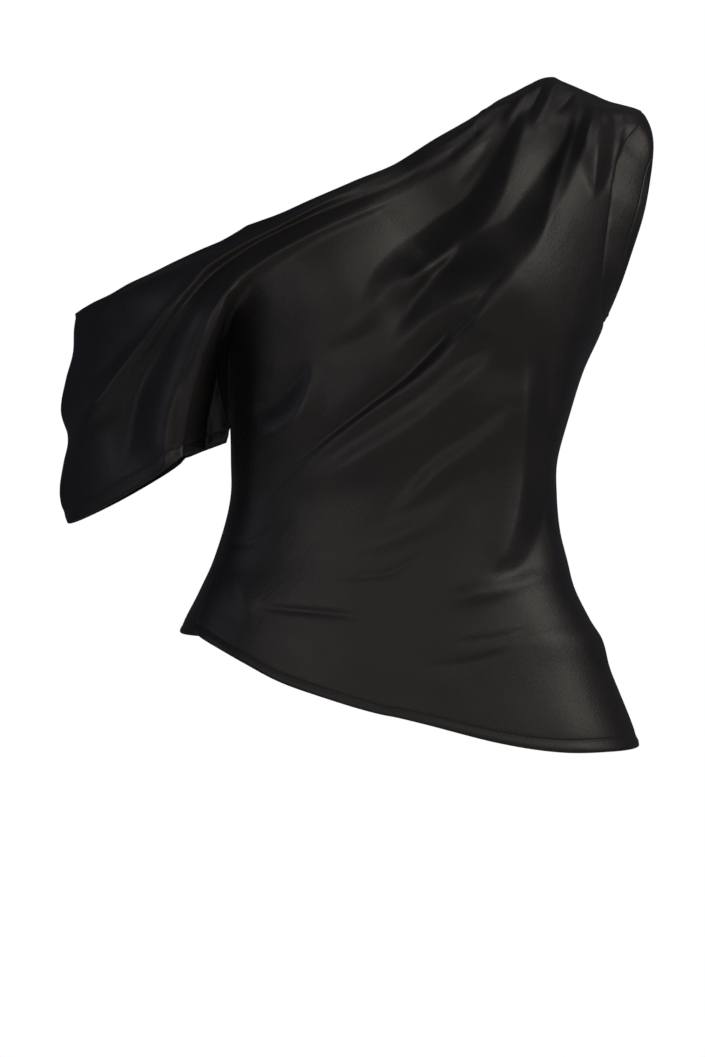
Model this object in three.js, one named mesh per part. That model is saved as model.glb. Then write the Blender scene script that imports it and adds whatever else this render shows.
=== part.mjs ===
// An asymmetric satin top. One shoulder is gathered and has a narrow cap sleeve. From there the
// neckline falls across to a draped sleeve on the other arm, and the curved hem drops to one side.
// Millimetres, +Z up. The garment faces -Y, and +X is on the right of someone looking at its front.
// It keeps the hollow form that it has when worn. Each piece is a wall of cloth: a grid of points
// on the middle of the cloth, moved out along the normals to both sides.
import * as THREE from "three";

// Driving sizes
const clothThickness = 1.6;
const seamGap = 0.36; // between two pieces that are sewn edge to edge
const sleeveStandOff = 2.5; // from the body's edge to the sleeve that is sewn over it at the underarm
const pinchStandOff = 1.2; // the same, where that seam starts at the front
const sectionPower = 2.3; // of a body section: 2 is an ellipse, more is squarer
const girthShare = 0.82; // a quarter of a section's girth as a share of its two half widths
const shoulderHeight = 324.5; // of the middle of the shoulder seam above the waist
const underarmHeight = 55; // of the draped sleeve's underarm above the waist
const pinchHeight = 171; // of the point at the front where the sleeve's fold edge starts

// Grid of each piece, in quads
const sideRows = 17;
const farSideRows = 22;
const jointLowRows = 11;
const jointTopRows = 9; // and the columns on each face of the draped sleeve
const armholeRows = sideRows + jointLowRows + jointTopRows - farSideRows;
const frontNeckColumns = 28;
const backNeckColumns = 18;
const shoulderColumns = 9;
const sleeveNeckRows = 10;
const sleeveArmRows = 10;
const capColumns = 4;
const foldSteps = 60; // places along each fold at which its distance is measured
const topEdgePower = 3; // how fast a panel's rows lose the shape of its top edge
const searchSteps = 40; // halvings in the search for a section by its height
const placesPerMillimetre = 200; // grid points closer than one of these places are one point

// The body's sections, from below the hem to the top of the shoulder. z is the height above the
// waist, left and right are the widest points seen from the front, and front and back are depths
// from the side line, which lies at y.
const bodySections = [
  { z: -235, left: -222, right: 208, front: 110, back: 128, y: 4 },
  { z: -200, left: -211, right: 198, front: 110, back: 128, y: 4 },
  { z: -170, left: -201, right: 186, front: 108, back: 126, y: 4 },
  { z: -148, left: -192, right: 177.5, front: 107, back: 124, y: 4 },
  { z: -125, left: -182.5, right: 171.5, front: 105, back: 121, y: 3 },
  { z: -108, left: -176.5, right: 161, front: 103, back: 117, y: 3 },
  { z: -83, left: -164.5, right: 148.5, front: 100, back: 110, y: 2 },
  { z: -58, left: -152.5, right: 142, front: 97, back: 104, y: 2 },
  { z: -33, left: -144.5, right: 136, front: 95, back: 98, y: 1 },
  { z: -4, left: -138.5, right: 133.3, front: 95, back: 94, y: 0 },
  { z: 25, left: -138.5, right: 134, front: 99, back: 93, y: 0 },
  { z: 62, left: -139.5, right: 144, front: 106, back: 96, y: 0 },
  { z: 100, left: -142, right: 156, front: 112, back: 101, y: 1 },
  { z: 136, left: -154, right: 172, front: 114, back: 105, y: 2 },
  { z: 171, left: -182, right: 181, front: 113, back: 107, y: 3 },
  { z: 210, left: -228, right: 189, front: 107, back: 107, y: 4 },
  { z: 250, left: -240, right: 198, front: 95, back: 103, y: 6 },
  { z: 280, left: -150, right: 207, front: 78, back: 92, y: 8 },
  { z: 300, left: -75, right: 211, front: 61, back: 74, y: 9 },
  { z: 310, left: -42, right: 208, front: 52, back: 62, y: 10 },
  { z: 316, left: -22, right: 199, front: 45, back: 54, y: 10 },
  { z: 322, left: 0, right: 177, front: 39, back: 46, y: 10 },
  { z: 328, left: 25, right: 163, front: 32, back: 37, y: 10 },
  { z: 335, left: 60, right: 147, front: 22, back: 25, y: 10 },
  { z: 340, left: 90, right: 135, front: 13, back: 14, y: 9 },
  { z: 343.5, left: 112, right: 129, front: 4, back: 4, y: 9 },
];

// The fullness over the bust: centre, spread and height
const bustFullness = [
  { x: -73, z: 172, wide: 50, high: 46, height: 8 },
  { x: 104, z: 172, wide: 50, high: 46, height: 10 },
];

// Lines on the body. turn is the angle round from the side line, in degrees, and x is where the
// line passes as seen from the front.
const frontHem = [
  { x: -165.5, z: -121 },
  { x: -149, z: -131 },
  { x: -128, z: -143 },
  { x: -97.5, z: -159 },
  { x: -64, z: -171 },
  { x: 19, z: -193 },
  { x: 86, z: -210 },
  { x: 136, z: -217.5 },
  { x: 180, z: -217 },
];
const backHem = [
  { x: -172, z: -118 },
  { x: -150, z: -122 },
  { x: -110, z: -138 },
  { x: -40, z: -166 },
  { x: 30, z: -188 },
  { x: 100, z: -204 },
  { x: 170, z: -211 },
];
const leftSideSeam = [
  { z: -121, turn: 26 },
  { z: -107, turn: 22 },
  { z: -90, turn: 19 },
  { z: -65, turn: 14 },
  { z: -45, turn: 8 },
  { z: -22, turn: 2 },
  { z: 10, turn: 0 },
  { z: underarmHeight, turn: 0 },
];
const rightSideSeam = [
  { z: -213, turn: 0 },
  { z: -40, turn: 0 },
  { z: 136, turn: 0 },
];
const frontJointLow = [
  { z: underarmHeight, turn: 0 },
  { z: 80, turn: 6 },
  { z: 105, turn: 15 },
  { z: 130, turn: 28 },
  { z: 150, turn: 40 },
  { z: 163, turn: 47.5 },
  { z: pinchHeight, turn: 51 },
];
const frontJointTop = [
  { z: pinchHeight, turn: 51 },
  { z: 182, turn: 56 },
  { z: 198, turn: 61 },
  { z: 219, turn: 64 },
];
const backJointLow = [
  { z: underarmHeight, turn: 0 },
  { z: 80, turn: 6 },
  { z: 105, turn: 15 },
  { z: 130, turn: 29 },
  { z: 148, turn: 42 },
  { z: 160, turn: 50 },
];
const backJointTop = [
  { z: 160, turn: 50 },
  { z: 175, turn: 57 },
  { z: 190, turn: 61 },
  { z: 207, turn: 64 },
];
const armhole = [
  { z: 136, turn: 0 },
  { z: 143, turn: 9 },
  { z: 155, turn: 17 },
  { z: 171, turn: 21 },
  { z: 192, turn: 23 },
  { z: 214, turn: 24 },
  { z: 236, turn: 25 },
  { z: 253, turn: 26.5 },
  { z: 270, turn: 29 },
  { z: 286, turn: 30 },
  { z: 298, turn: 28 },
  { z: 307, turn: 20 },
  { z: 312, turn: 10 },
  { z: 314.5, turn: 0 },
];
const shoulderSeam = [
  { z: 342.6, turn: 0 },
  { z: 338, turn: 0 },
  { z: 328, turn: 0 },
  { z: 320, turn: 0 },
  { z: 314.5, turn: 0 },
];
const frontNeck = [
  { x: -97.5, z: 230 },
  { x: -69, z: 243 },
  { x: -35, z: 256.7 },
  { x: -1, z: 270.8 },
  { x: 26.7, z: 287.5 },
  { x: 50, z: 300.4 },
  { x: 67.5, z: 313 },
  { x: 81.7, z: 322.5 },
  { x: 98, z: 331 },
  { x: 111, z: 338 },
  { x: 121, z: 342 },
];
const backNeck = [
  { x: -95, z: 219 },
  { x: -66, z: 232 },
  { x: -32, z: 246 },
  { x: 0, z: 259 },
  { x: 28, z: 275 },
  { x: 52, z: 290 },
  { x: 72, z: 305 },
  { x: 87, z: 317 },
  { x: 101, z: 327 },
  { x: 114, z: 335.5 },
  { x: 123, z: 341 },
];

// The draped sleeve. Its neckline runs on from the body's to the outer arm, then the over-arm
// line goes down to the hem. The fold edge runs from the pinch at the chest down to the hem.
const sleeveNeck = [
  { x: -145, y: -92, z: 211.5 },
  { x: -164, y: -87, z: 202 },
  { x: -185, y: -78, z: 190.5 },
  { x: -206, y: -66, z: 179 },
  { x: -225, y: -52, z: 170 },
  { x: -240, y: -38, z: 163 },
  { x: -252, y: -24, z: 157 },
  { x: -261, y: -10, z: 152 },
  { x: -268, y: 6, z: 147.5 },
];
const overArm = [
  { x: -268, y: 6, z: 147.5 },
  { x: -270, y: 6, z: 135 },
  { x: -271, y: 6, z: 115 },
  { x: -277, y: 6, z: 92 },
  { x: -281, y: 6, z: 66 },
  { x: -275, y: 6, z: 44 },
  { x: -279, y: 6, z: 22 },
  { x: -282, y: 6, z: 2 },
  { x: -281, y: 6, z: -11 },
  { x: -275, y: 6, z: -27 },
];
const foldEdge = [
  { x: -128, y: -98, z: 169.5 },
  { x: -134, y: -100, z: 167 },
  { x: -141, y: -99, z: 160 },
  { x: -146, y: -96, z: 147.5 },
  { x: -152.5, y: -91, z: 131.7 },
  { x: -159, y: -86, z: 115.8 },
  { x: -164, y: -82, z: 98 },
  { x: -169, y: -78, z: 80 },
  { x: -173, y: -74, z: 62.5 },
  { x: -175, y: -70, z: 44 },
  { x: -178, y: -65, z: 28.5 },
];
const sleeveUnderarmHem = { x: -143, y: 2, z: 40 };
const sleeveBulge = 34; // of the sleeve's front and back beyond the straight line from arm to fold
const bulgePower = 0.75; // below 1, so that the bulge is full close to its edges
const roundFrom = 0.4; // share of the way out from the body at which the sleeve is fully round
const jointShapePower = 3; // how fast the ribs lose the shape of the joint with the body
const underarmShapePower = 2;
const sleeveHemSag = 5;
const backNeckDrop = 10; // of the sleeve's back neckline below the front one
const backSleeveDepth = 0.92; // of the back half's depth against the front half's

// The cap sleeve's free edge, from the underarm over the shoulder. y is for the front half.
const capEdge = [
  { x: 176, y: -7, z: 146 },
  { x: 180.5, y: -15, z: 156 },
  { x: 188, y: -23, z: 175 },
  { x: 197, y: -28, z: 202 },
  { x: 204.5, y: -29, z: 226 },
  { x: 208, y: -26, z: 241 },
  { x: 211, y: -20, z: 258 },
  { x: 213, y: -10, z: 272 },
  { x: 213.5, y: 9, z: 280 },
];
const capMiddle = 9; // y of the cap's highest point, about which its two halves match
const capCrown = 5; // how far the cap rises beyond the straight line across it
const capRise = { x: 0.8, z: 0.6 }; // the way in which it rises
const capGathers = { count: 7, height: 1.1, reach: 0.3 };

// The largest folds, as seen from the front: the line of points that each follows, its width at
// the start, middle and end, and its height (a trough's is below zero).
const frontFolds = [
  {
    name: "long ridge from the shoulder into the sleeve",
    line: [[38, 290], [-4, 265], [-67, 233], [-131, 205], [-162, 179], [-188, 146], [-222, 98],
      [-247, 65], [-268, 37]],
    width: [8.5, 9, 15],
    height: 6,
  },
  {
    name: "deep trough beside it",
    line: [[-120, 196], [-152, 180], [-172, 156], [-191, 121], [-207, 88], [-224, 56]],
    width: [8.5, 13, 12],
    height: -9,
  },
  {
    name: "roll beside the fold edge",
    line: [[-146, 160], [-162, 132], [-178, 98], [-193, 42]],
    width: [8.5, 11, 13],
    height: 4,
  },
  {
    name: "sharp crease from the bust to the waist",
    line: [[88, 168], [56, 128], [18, 91], [-22, 63], [-63, 33], [-101, 1], [-128, -26]],
    width: [8.5, 8.5, 8.5],
    height: -5,
  },
  {
    name: "roll under the sharp crease",
    line: [[92, 148], [68, 116], [30, 77], [-12, 48], [-56, 16]],
    width: [10, 11, 9],
    height: 3,
  },
  {
    name: "first shoulder trough",
    line: [[153, 318], [149, 292], [138, 278], [115, 249], [101, 222], [80, 194], [47, 177],
      [27, 157], [11, 128], [-8, 105]],
    width: [8.5, 15, 9],
    height: -7,
  },
  {
    name: "ridge at the neck",
    line: [[131, 336], [115, 303], [104, 278], [90, 242], [78, 205]],
    width: [8.5, 9, 12],
    height: 5,
  },
  {
    name: "ridge at the armhole",
    line: [[169, 324], [157, 291], [150, 266], [138, 237], [118, 192]],
    width: [8.5, 10, 16],
    height: 4,
  },
  {
    name: "trough at the armhole",
    line: [[182, 318], [175, 292], [168, 262], [163, 240]],
    width: [8.5, 8.5, 8.5],
    height: -3.5,
  },
  {
    name: "second shoulder trough",
    line: [[106, 326], [97, 299], [82, 283], [66, 263], [42, 244], [19, 221], [-6, 190], [-27, 165],
      [-50, 124]],
    width: [8.5, 13, 9],
    height: -6,
  },
  {
    name: "ridge between the troughs",
    line: [[95, 285], [70, 246], [48, 216], [15, 179], [-16, 133]],
    width: [8.5, 12, 9],
    height: 3.5,
  },
  {
    name: "soft band over the midriff",
    line: [[105, 128], [80, 79], [39, 46], [-27, 1], [-78, -34]],
    width: [12, 14, 12],
    height: 2.2,
  },
  {
    name: "dip at the side under the sleeve",
    line: [[-76, 96], [-92, 68], [-124, 48]],
    width: [8.5, 9, 8.5],
    height: -3,
  },
];

// The back's folds, as seen through from the front
const backFolds = [
  {
    name: "ridge across the back into the sleeve",
    line: [[110, 318], [60, 270], [0, 232], [-70, 205], [-140, 170], [-190, 120], [-230, 70]],
    width: [8.5, 12, 16],
    height: 5,
  },
  {
    name: "trough under it",
    line: [[125, 300], [80, 244], [20, 203], [-50, 172], [-120, 130], [-176, 70]],
    width: [8.5, 14, 14],
    height: -6,
  },
  {
    name: "trough from the gathered shoulder",
    line: [[158, 322], [148, 280], [122, 226], [86, 170], [50, 118]],
    width: [8.5, 13, 10],
    height: -5,
  },
  {
    name: "ridge at the back armhole",
    line: [[172, 318], [164, 280], [150, 232], [128, 178]],
    width: [8.5, 11, 12],
    height: 4,
  },
  {
    name: "crease down to the waist",
    line: [[98, 120], [50, 76], [-10, 36], [-76, 4], [-122, -20]],
    width: [8.5, 10, 8.5],
    height: -4,
  },
  {
    name: "soft band over the seat",
    line: [[120, -40], [50, -76], [-30, -92], [-110, -88]],
    width: [12, 16, 12],
    height: 2.5,
  },
];

const foldFade = { start: 0.25, in: 6, out: 3.5 }; // how a fold's height grows and dies along it
const foldFacing = { y: 1.6, z: 0.6 }; // folds are full height where the cloth faces this much

const clothColour = 0x2b2825;
const clothRoughness = 0.42;
const up = new THREE.Vector3(0, 0, 1);
const mix = THREE.MathUtils.lerp;
const degrees = THREE.MathUtils.DEG2RAD;

// A smooth value along a list, at a place counted in its rows
function smoothAt(list, place) {
  const last = list.length - 1;
  const i = Math.min(Math.max(Math.floor(place), 0), last - 1);
  const t = Math.min(Math.max(place - i, 0), 1);
  const before = list[Math.max(i - 1, 0)];
  const after = list[Math.min(i + 2, last)];
  const slopeIn = (list[i + 1] - before) / 2;
  const slopeOut = (after - list[i]) / 2;
  const a = 2 * t ** 3 - 3 * t ** 2 + 1;
  const b = t ** 3 - 2 * t ** 2 + t;
  const c = 3 * t ** 2 - 2 * t ** 3;
  const d = t ** 3 - t ** 2;
  return a * list[i] + b * slopeIn + c * list[i + 1] + d * slopeOut;
}

const sectionColumns = Object.fromEntries(
  Object.keys(bodySections[0]).map((name) => [name, bodySections.map((row) => row[name])]),
);

// The place in bodySections, counted in rows, of a height
function sectionPlace(z) {
  let low = 0;
  let high = bodySections.length - 1;
  for (let step = 0; step < searchSteps; step++) {
    const middle = (low + high) / 2;
    if (smoothAt(sectionColumns.z, middle) < z) low = middle;
    else high = middle;
  }
  return (low + high) / 2;
}

function sectionAt(z) {
  const place = sectionPlace(z);
  const section = {};
  for (const name in sectionColumns) section[name] = smoothAt(sectionColumns[name], place);
  return section;
}

// A point of the plain body form. The angle is 0 on the left side line, 90 degrees at the middle
// of the front, 180 degrees on the right side line and 270 degrees at the middle of the back.
function bodyPoint(angle, z) {
  const s = sectionAt(z);
  const across = Math.cos(angle);
  const toFront = Math.sin(angle);
  const reach = Math.sign(across) * Math.abs(across) ** (2 / sectionPower);
  const x = (s.left + s.right) / 2 - ((s.right - s.left) / 2) * reach;
  const depth = toFront > 0 ? s.front : -s.back;
  let y = s.y - depth * Math.abs(toFront) ** (2 / sectionPower);
  if (toFront > 0) {
    for (const b of bustFullness) {
      const away = ((x - b.x) / b.wide) ** 2 + ((z - b.z) / b.high) ** 2;
      y -= b.height * Math.exp(-away) * toFront;
    }
  }
  return new THREE.Vector3(x, y, z);
}

// A panel is laid out on the flat by spread, the distance round from the middle of its section,
// and by height. A quarter of the section's girth is taken as a share of its two half widths.
function quarterGirth(s, side) {
  return girthShare * ((s.right - s.left) / 2 + s[side]);
}

function spreadOf(angle, z, side) {
  const s = sectionAt(z);
  const fromMiddle = side === "front" ? angle - Math.PI / 2 : 1.5 * Math.PI - angle;
  return (s.left + s.right) / 2 + quarterGirth(s, side) * (fromMiddle / (Math.PI / 2));
}

function pointAtSpread(spread, z, side) {
  const s = sectionAt(z);
  const fromMiddle = ((spread - (s.left + s.right) / 2) / quarterGirth(s, side)) * (Math.PI / 2);
  return bodyPoint(side === "front" ? Math.PI / 2 + fromMiddle : 1.5 * Math.PI - fromMiddle, z);
}

// A place given by x, as seen from the front
function placeOfX({ x, z }, side) {
  const s = sectionAt(z);
  const reach = THREE.MathUtils.clamp(((s.left + s.right) / 2 - x) / ((s.right - s.left) / 2), -1, 1);
  const angle = Math.acos(Math.sign(reach) * Math.abs(reach) ** (sectionPower / 2));
  return { spread: spreadOf(side === "front" ? angle : 2 * Math.PI - angle, z, side), z };
}

// A place given by its turn from the left or right side line, towards the front or the back
function placeOfTurn(turn, z, edge, side, turnsTo = side) {
  const towards = turnsTo === side ? turn : -turn;
  const angle = (edge === "left" ? towards : 180 - towards) * degrees;
  return { spread: spreadOf(side === "front" ? angle : 2 * Math.PI - angle, z, side), z };
}

// A smooth line through pairs of values. It gives the pair at a share of its length.
function smoothLine(pairs) {
  const points = pairs.map(([a, b]) => new THREE.Vector3(a, 0, b));
  const curve = new THREE.CatmullRomCurve3(points, false, "centripetal");
  return (share) => {
    const p = curve.getPointAt(share);
    return [p.x, p.z];
  };
}

function lineOf(places) {
  const line = smoothLine(places.map(({ spread, z }) => [spread, z]));
  return (share) => {
    const [spread, z] = line(share);
    return { spread, z };
  };
}

function curveOf(rows) {
  const points = rows.map((row) => new THREE.Vector3(row.x, row.y, row.z));
  return new THREE.CatmullRomCurve3(points, false, "centripetal");
}

// A list of places along several curves, one after the other, each with its own number of steps
function sampled(parts) {
  const list = [];
  parts.forEach(({ curve, steps }, n) => {
    for (let i = n ? 1 : 0; i <= steps; i++) list.push(curve(i / steps));
  });
  return list;
}

// Fills the grid between four edges, given as lists of places, with a Coons patch. The shape of
// the top edge reaches only a little way down into it, so that no rows cross.
function filledGrid(bottom, top, left, right, side) {
  const columns = bottom.length - 1;
  const rows = left.length - 1;
  const value = (name, i, j) => {
    const u = i / columns;
    const v = (j / rows) ** topEdgePower;
    const across = mix(left[j][name], right[j][name], u);
    const along = mix(bottom[i][name], top[i][name], v);
    const low = mix(bottom[0][name], bottom[columns][name], u);
    const high = mix(top[0][name], top[columns][name], u);
    return across + along - mix(low, high, v);
  };
  return left.map((_, j) =>
    bottom.map((__, i) => pointAtSpread(value("spread", i, j), value("z", i, j), side)),
  );
}

// The height of the folds at a place, as seen from the front
function foldField(folds) {
  const sampledFolds = folds.map(({ line, width, height }) => {
    const points = line.map(([x, z]) => new THREE.Vector3(x, 0, z));
    const curve = new THREE.CatmullRomCurve3(points, false, "centripetal");
    return { spots: curve.getSpacedPoints(foldSteps), width, height };
  });
  return (x, z) => {
    let total = 0;
    for (const { spots, width, height } of sampledFolds) {
      let nearest = 0;
      let distance = Infinity;
      spots.forEach((spot, i) => {
        const away = Math.hypot(spot.x - x, spot.z - z);
        if (away < distance) [nearest, distance] = [i, away];
      });
      const share = nearest / (spots.length - 1);
      const wide = smoothAt(width, share * (width.length - 1));
      const fade = Math.min(1, foldFade.start + foldFade.in * share, foldFade.out * (1 - share));
      total += height * fade * Math.exp(-((distance / wide) ** 2));
    }
    return total;
  };
}

// All the cloth as one net of points. Pieces that are sewn edge to edge share points there, so
// they also share normals.
const net = { points: [], index: new Map(), pieces: {}, folds: [] };

function netPoint(p, fold) {
  const key = [p.x, p.y, p.z].map((v) => Math.round(v * placesPerMillimetre)).join(",");
  if (!net.index.has(key)) {
    net.index.set(key, net.points.length);
    net.points.push(p.clone());
    net.folds.push(fold);
  }
  return net.index.get(key);
}

// Adds a grid of points to a piece. Seen from outside, its rows go up and its columns go right,
// or left where it is turned.
function addGrid(name, grid, foldAt, isTurned = false) {
  const ids = grid.map((row) => row.map((p) => netPoint(p, foldAt(p))));
  const quads = (net.pieces[name] ??= []);
  for (let j = 0; j < ids.length - 1; j++) {
    for (let i = 0; i < ids[j].length - 1; i++) {
      const quad = [ids[j][i], ids[j][i + 1], ids[j + 1][i + 1], ids[j + 1][i]];
      quads.push(isTurned ? quad.reverse() : quad);
    }
  }
}

// The two triangles of a quad, or one where two of its corners are the same
function trianglesOf([a, b, c, d]) {
  return [[a, b, c], [a, c, d]].filter((t) => new Set(t).size === 3);
}

function netNormals() {
  const normals = net.points.map(() => new THREE.Vector3());
  for (const quads of Object.values(net.pieces)) {
    for (const [a, b, c] of quads.flatMap(trianglesOf)) {
      const one = net.points[b].clone().sub(net.points[a]);
      const two = net.points[c].clone().sub(net.points[a]);
      const normal = one.cross(two);
      for (const i of [a, b, c]) normals[i].add(normal);
    }
  }
  return normals.map((n) => n.normalize());
}

function wallOf(name, normals, owners) {
  const quads = net.pieces[name];
  const middles = new Map();
  for (const quad of quads) {
    const centre = new THREE.Vector3();
    for (const i of quad) centre.addScaledVector(net.points[i], 1 / quad.length);
    for (const i of quad) {
      if (!middles.has(i)) middles.set(i, new THREE.Vector3());
      middles.get(i).add(centre.clone().sub(net.points[i]));
    }
  }
  const ids = [...middles.keys()];
  const local = new Map(ids.map((id, n) => [id, n]));
  const count = ids.length;
  const positions = new Float32Array(count * 6);
  ids.forEach((id, n) => {
    const p = net.points[id].clone();
    if (owners[id].size > 1) {
      const inward = middles.get(id);
      inward.addScaledVector(normals[id], -inward.dot(normals[id])).normalize();
      p.addScaledVector(inward, seamGap / 2);
    }
    const half = normals[id].clone().multiplyScalar(clothThickness / 2);
    p.clone().add(half).toArray(positions, n * 3);
    p.clone().sub(half).toArray(positions, (count + n) * 3);
  });
  const faces = [];
  const edges = new Map();
  for (const triangle of quads.flatMap(trianglesOf)) {
    const [a, b, c] = triangle.map((id) => local.get(id));
    faces.push(a, b, c, a + count, c + count, b + count);
    for (const [from, to] of [[a, b], [b, c], [c, a]]) {
      if (edges.has(`${to},${from}`)) edges.delete(`${to},${from}`);
      else edges.set(`${from},${to}`, [from, to]);
    }
  }
  for (const [from, to] of edges.values()) {
    faces.push(to, from, from + count, to, from + count, to + count);
  }
  const geometry = new THREE.BufferGeometry();
  geometry.setAttribute("position", new THREE.BufferAttribute(positions, 3));
  geometry.setIndex(faces);
  geometry.computeVertexNormals();
  return geometry;
}

// One panel of the body, front or back
function addPanel(side, { neckColumns, hemRows, neckRows, jointLow, jointTop, foldAt }) {
  const turns = (rows, edge, turnsTo) => {
    const turnLine = smoothLine(rows.map(({ turn, z }) => [turn, z]));
    return (t) => placeOfTurn(...turnLine(t), edge, side, turnsTo);
  };
  const left = sampled([
    { curve: turns(leftSideSeam, "left", "front"), steps: sideRows },
    { curve: turns(jointLow, "left", side), steps: jointLowRows },
    { curve: turns(jointTop, "left", side), steps: jointTopRows },
  ]);
  const right = sampled([
    { curve: turns(rightSideSeam, "right", side), steps: farSideRows },
    { curve: turns(armhole, "right", side), steps: armholeRows },
  ]);
  const shoulder = turns(shoulderSeam, "right", side);
  const hem = lineOf([left[0], ...hemRows.map((row) => placeOfX(row, side)), right[0]]);
  const neck = lineOf([left.at(-1), ...neckRows.map((row) => placeOfX(row, side)), shoulder(0)]);
  const bottom = sampled([{ curve: hem, steps: neckColumns + shoulderColumns }]);
  const top = sampled([
    { curve: neck, steps: neckColumns },
    { curve: shoulder, steps: shoulderColumns },
  ]);
  addGrid(side, filledGrid(bottom, top, left, right, side), foldAt, side === "back");
  const pinchRow = sideRows + jointLowRows;
  const onBody = ({ spread, z }) => pointAtSpread(spread, z, side);
  return {
    jointLow: left.slice(sideRows, pinchRow + 1).map(onBody),
    jointTop: left.slice(pinchRow).map(onBody),
    armhole: right.slice(farSideRows).map(onBody),
  };
}

// Half of the draped sleeve. Its ribs run from the neckline or over-arm line to the fold edge,
// then back under the arm. The first rib is sewn to the body and the last is the hem.
function addSleeveHalf(side, seams, foldAt) {
  const isBack = side === "back";
  const depth = isBack ? -backSleeveDepth : 1;
  const drop = isBack ? backNeckDrop : 0;
  const seamTop = seams.jointTop.toReversed().map((p) => p.clone());
  const seamLow = seams.jointLow.toReversed().map((p) => p.clone());
  seamTop.at(-1).x -= pinchStandOff;
  seamLow[0].x -= pinchStandOff;
  for (const p of seamLow.slice(1)) p.x -= sleeveStandOff;
  const neckRows = sleeveNeck.slice(0, -1).map(({ x, y, z }) => ({ x, y: y * depth, z: z - drop }));
  const neckCurve = curveOf([seamTop[0], ...neckRows, sleeveNeck.at(-1)]);
  const armCurve = curveOf(overArm);
  const foldRows = foldEdge.map(({ x, y, z }) => ({ x, y: y * depth, z: z - (drop * z) / pinchHeight }));
  const foldCurve = curveOf([seamTop.at(-1), ...foldRows]);
  const underarm = seamLow.at(-1);
  const underarmHem = new THREE.Vector3(sleeveUnderarmHem.x, sleeveUnderarmHem.y, sleeveUnderarmHem.z);
  const rows = sleeveNeckRows + sleeveArmRows;
  const grid = [];
  for (let j = 0; j <= rows; j++) {
    const s = j / rows;
    const top =
      j <= sleeveNeckRows
        ? neckCurve.getPointAt(j / sleeveNeckRows)
        : armCurve.getPointAt((j - sleeveNeckRows) / sleeveArmRows);
    const fold = foldCurve.getPointAt(s);
    const end = underarm.clone().lerp(underarmHem, s);
    const roundness = Math.min(1, s / roundFrom);
    const row = [];
    for (let i = 0; i < jointTopRows; i++) {
      const t = i / jointTopRows;
      const across = mix(t, (1 - Math.cos(Math.PI * t)) / 2, roundness);
      const p = top.clone().lerp(fold, across);
      const straight = seamTop[0].clone().lerp(seamTop.at(-1), t);
      p.addScaledVector(seamTop[i].clone().sub(straight), (1 - s) ** jointShapePower);
      p.y -= depth * sleeveBulge * roundness * Math.sin(Math.PI * t) ** bulgePower;
      p.z -= sleeveHemSag * s ** 3 * Math.sin(Math.PI * t);
      row.push(j ? p : seamTop[i]);
    }
    for (let i = 0; i <= jointLowRows; i++) {
      const t = i / jointLowRows;
      const straight = seamLow[0].clone().lerp(underarm, t);
      const bend = seamLow[i].clone().sub(straight);
      row.push(fold.clone().lerp(end, t).addScaledVector(bend, (1 - s) ** underarmShapePower));
    }
    grid.push(row);
  }
  addGrid("draped_sleeve", grid, foldAt, !isBack);
}

// The cap sleeve: a narrow strip from the armhole seam out to its free edge, gathered at the top.
// Its two ends stop short of the underarm.
function addCapSleeve(frontArmhole, backArmhole) {
  const seam = [...frontArmhole.slice(1), ...backArmhole.slice(1, -1).reverse()];
  const backEdge = capEdge.slice(0, -1).map(({ x, y, z }) => ({ x, y: 2 * capMiddle - y, z })).reverse();
  const edge = curveOf([...capEdge, ...backEdge]);
  const last = seam.length - 1;
  const grid = seam.map((from, i) => {
    const t = i / last;
    const to = edge.getPointAt(t);
    const nearTop = Math.exp(-(((t - 0.5) / capGathers.reach) ** 2));
    const row = [];
    for (let k = 0; k <= capColumns; k++) {
      const share = k / capColumns;
      const p = from.clone().lerp(to, share);
      const wave = Math.cos(2 * Math.PI * capGathers.count * t) * capGathers.height;
      const rise = (capCrown + wave) * Math.sin(Math.PI * share) * nearTop;
      p.x += rise * capRise.x;
      p.z += rise * capRise.z;
      row.push(p);
    }
    return row;
  });
  addGrid("cap_sleeve", grid, () => 0);
}

const frontFoldAt = foldField(frontFolds);
const backFoldAt = foldField(backFolds);
const fromFront = (p) => frontFoldAt(p.x, p.z);
const fromBack = (p) => backFoldAt(p.x, p.z);
const frontSeams = addPanel("front", {
  neckColumns: frontNeckColumns,
  hemRows: frontHem,
  neckRows: frontNeck,
  jointLow: frontJointLow,
  jointTop: frontJointTop,
  foldAt: fromFront,
});
const backSeams = addPanel("back", {
  neckColumns: backNeckColumns,
  hemRows: backHem,
  neckRows: backNeck,
  jointLow: backJointLow,
  jointTop: backJointTop,
  foldAt: fromBack,
});
addSleeveHalf("front", frontSeams, fromFront);
addSleeveHalf("back", backSeams, fromBack);
addCapSleeve(frontSeams.armhole, backSeams.armhole);

// The folds move each point along the plain form's normal, and fade out at the side lines.
const plainNormals = netNormals();
net.points.forEach((p, i) => {
  const n = plainNormals[i];
  const facing = Math.min(1, foldFacing.y * Math.abs(n.y) + foldFacing.z * Math.max(0, n.z));
  p.addScaledVector(n, net.folds[i] * facing);
});

const owners = net.points.map(() => new Set());
for (const [name, quads] of Object.entries(net.pieces)) {
  for (const quad of quads) for (const i of quad) owners[i].add(name);
}
const normals = netNormals();
const shoulderRest = bodyPoint(Math.PI, shoulderHeight).addScaledVector(up, -clothThickness);

const top = new THREE.Group();
for (const name of Object.keys(net.pieces)) {
  const cloth = new THREE.MeshStandardMaterial({
    color: clothColour,
    roughness: clothRoughness,
    metalness: 0,
  });
  const mesh = new THREE.Mesh(wallOf(name, normals, owners), cloth);
  mesh.name = name;
  top.add(mesh);
}
top.position.copy(shoulderRest).negate();

export default top;
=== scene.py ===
import math

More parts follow.
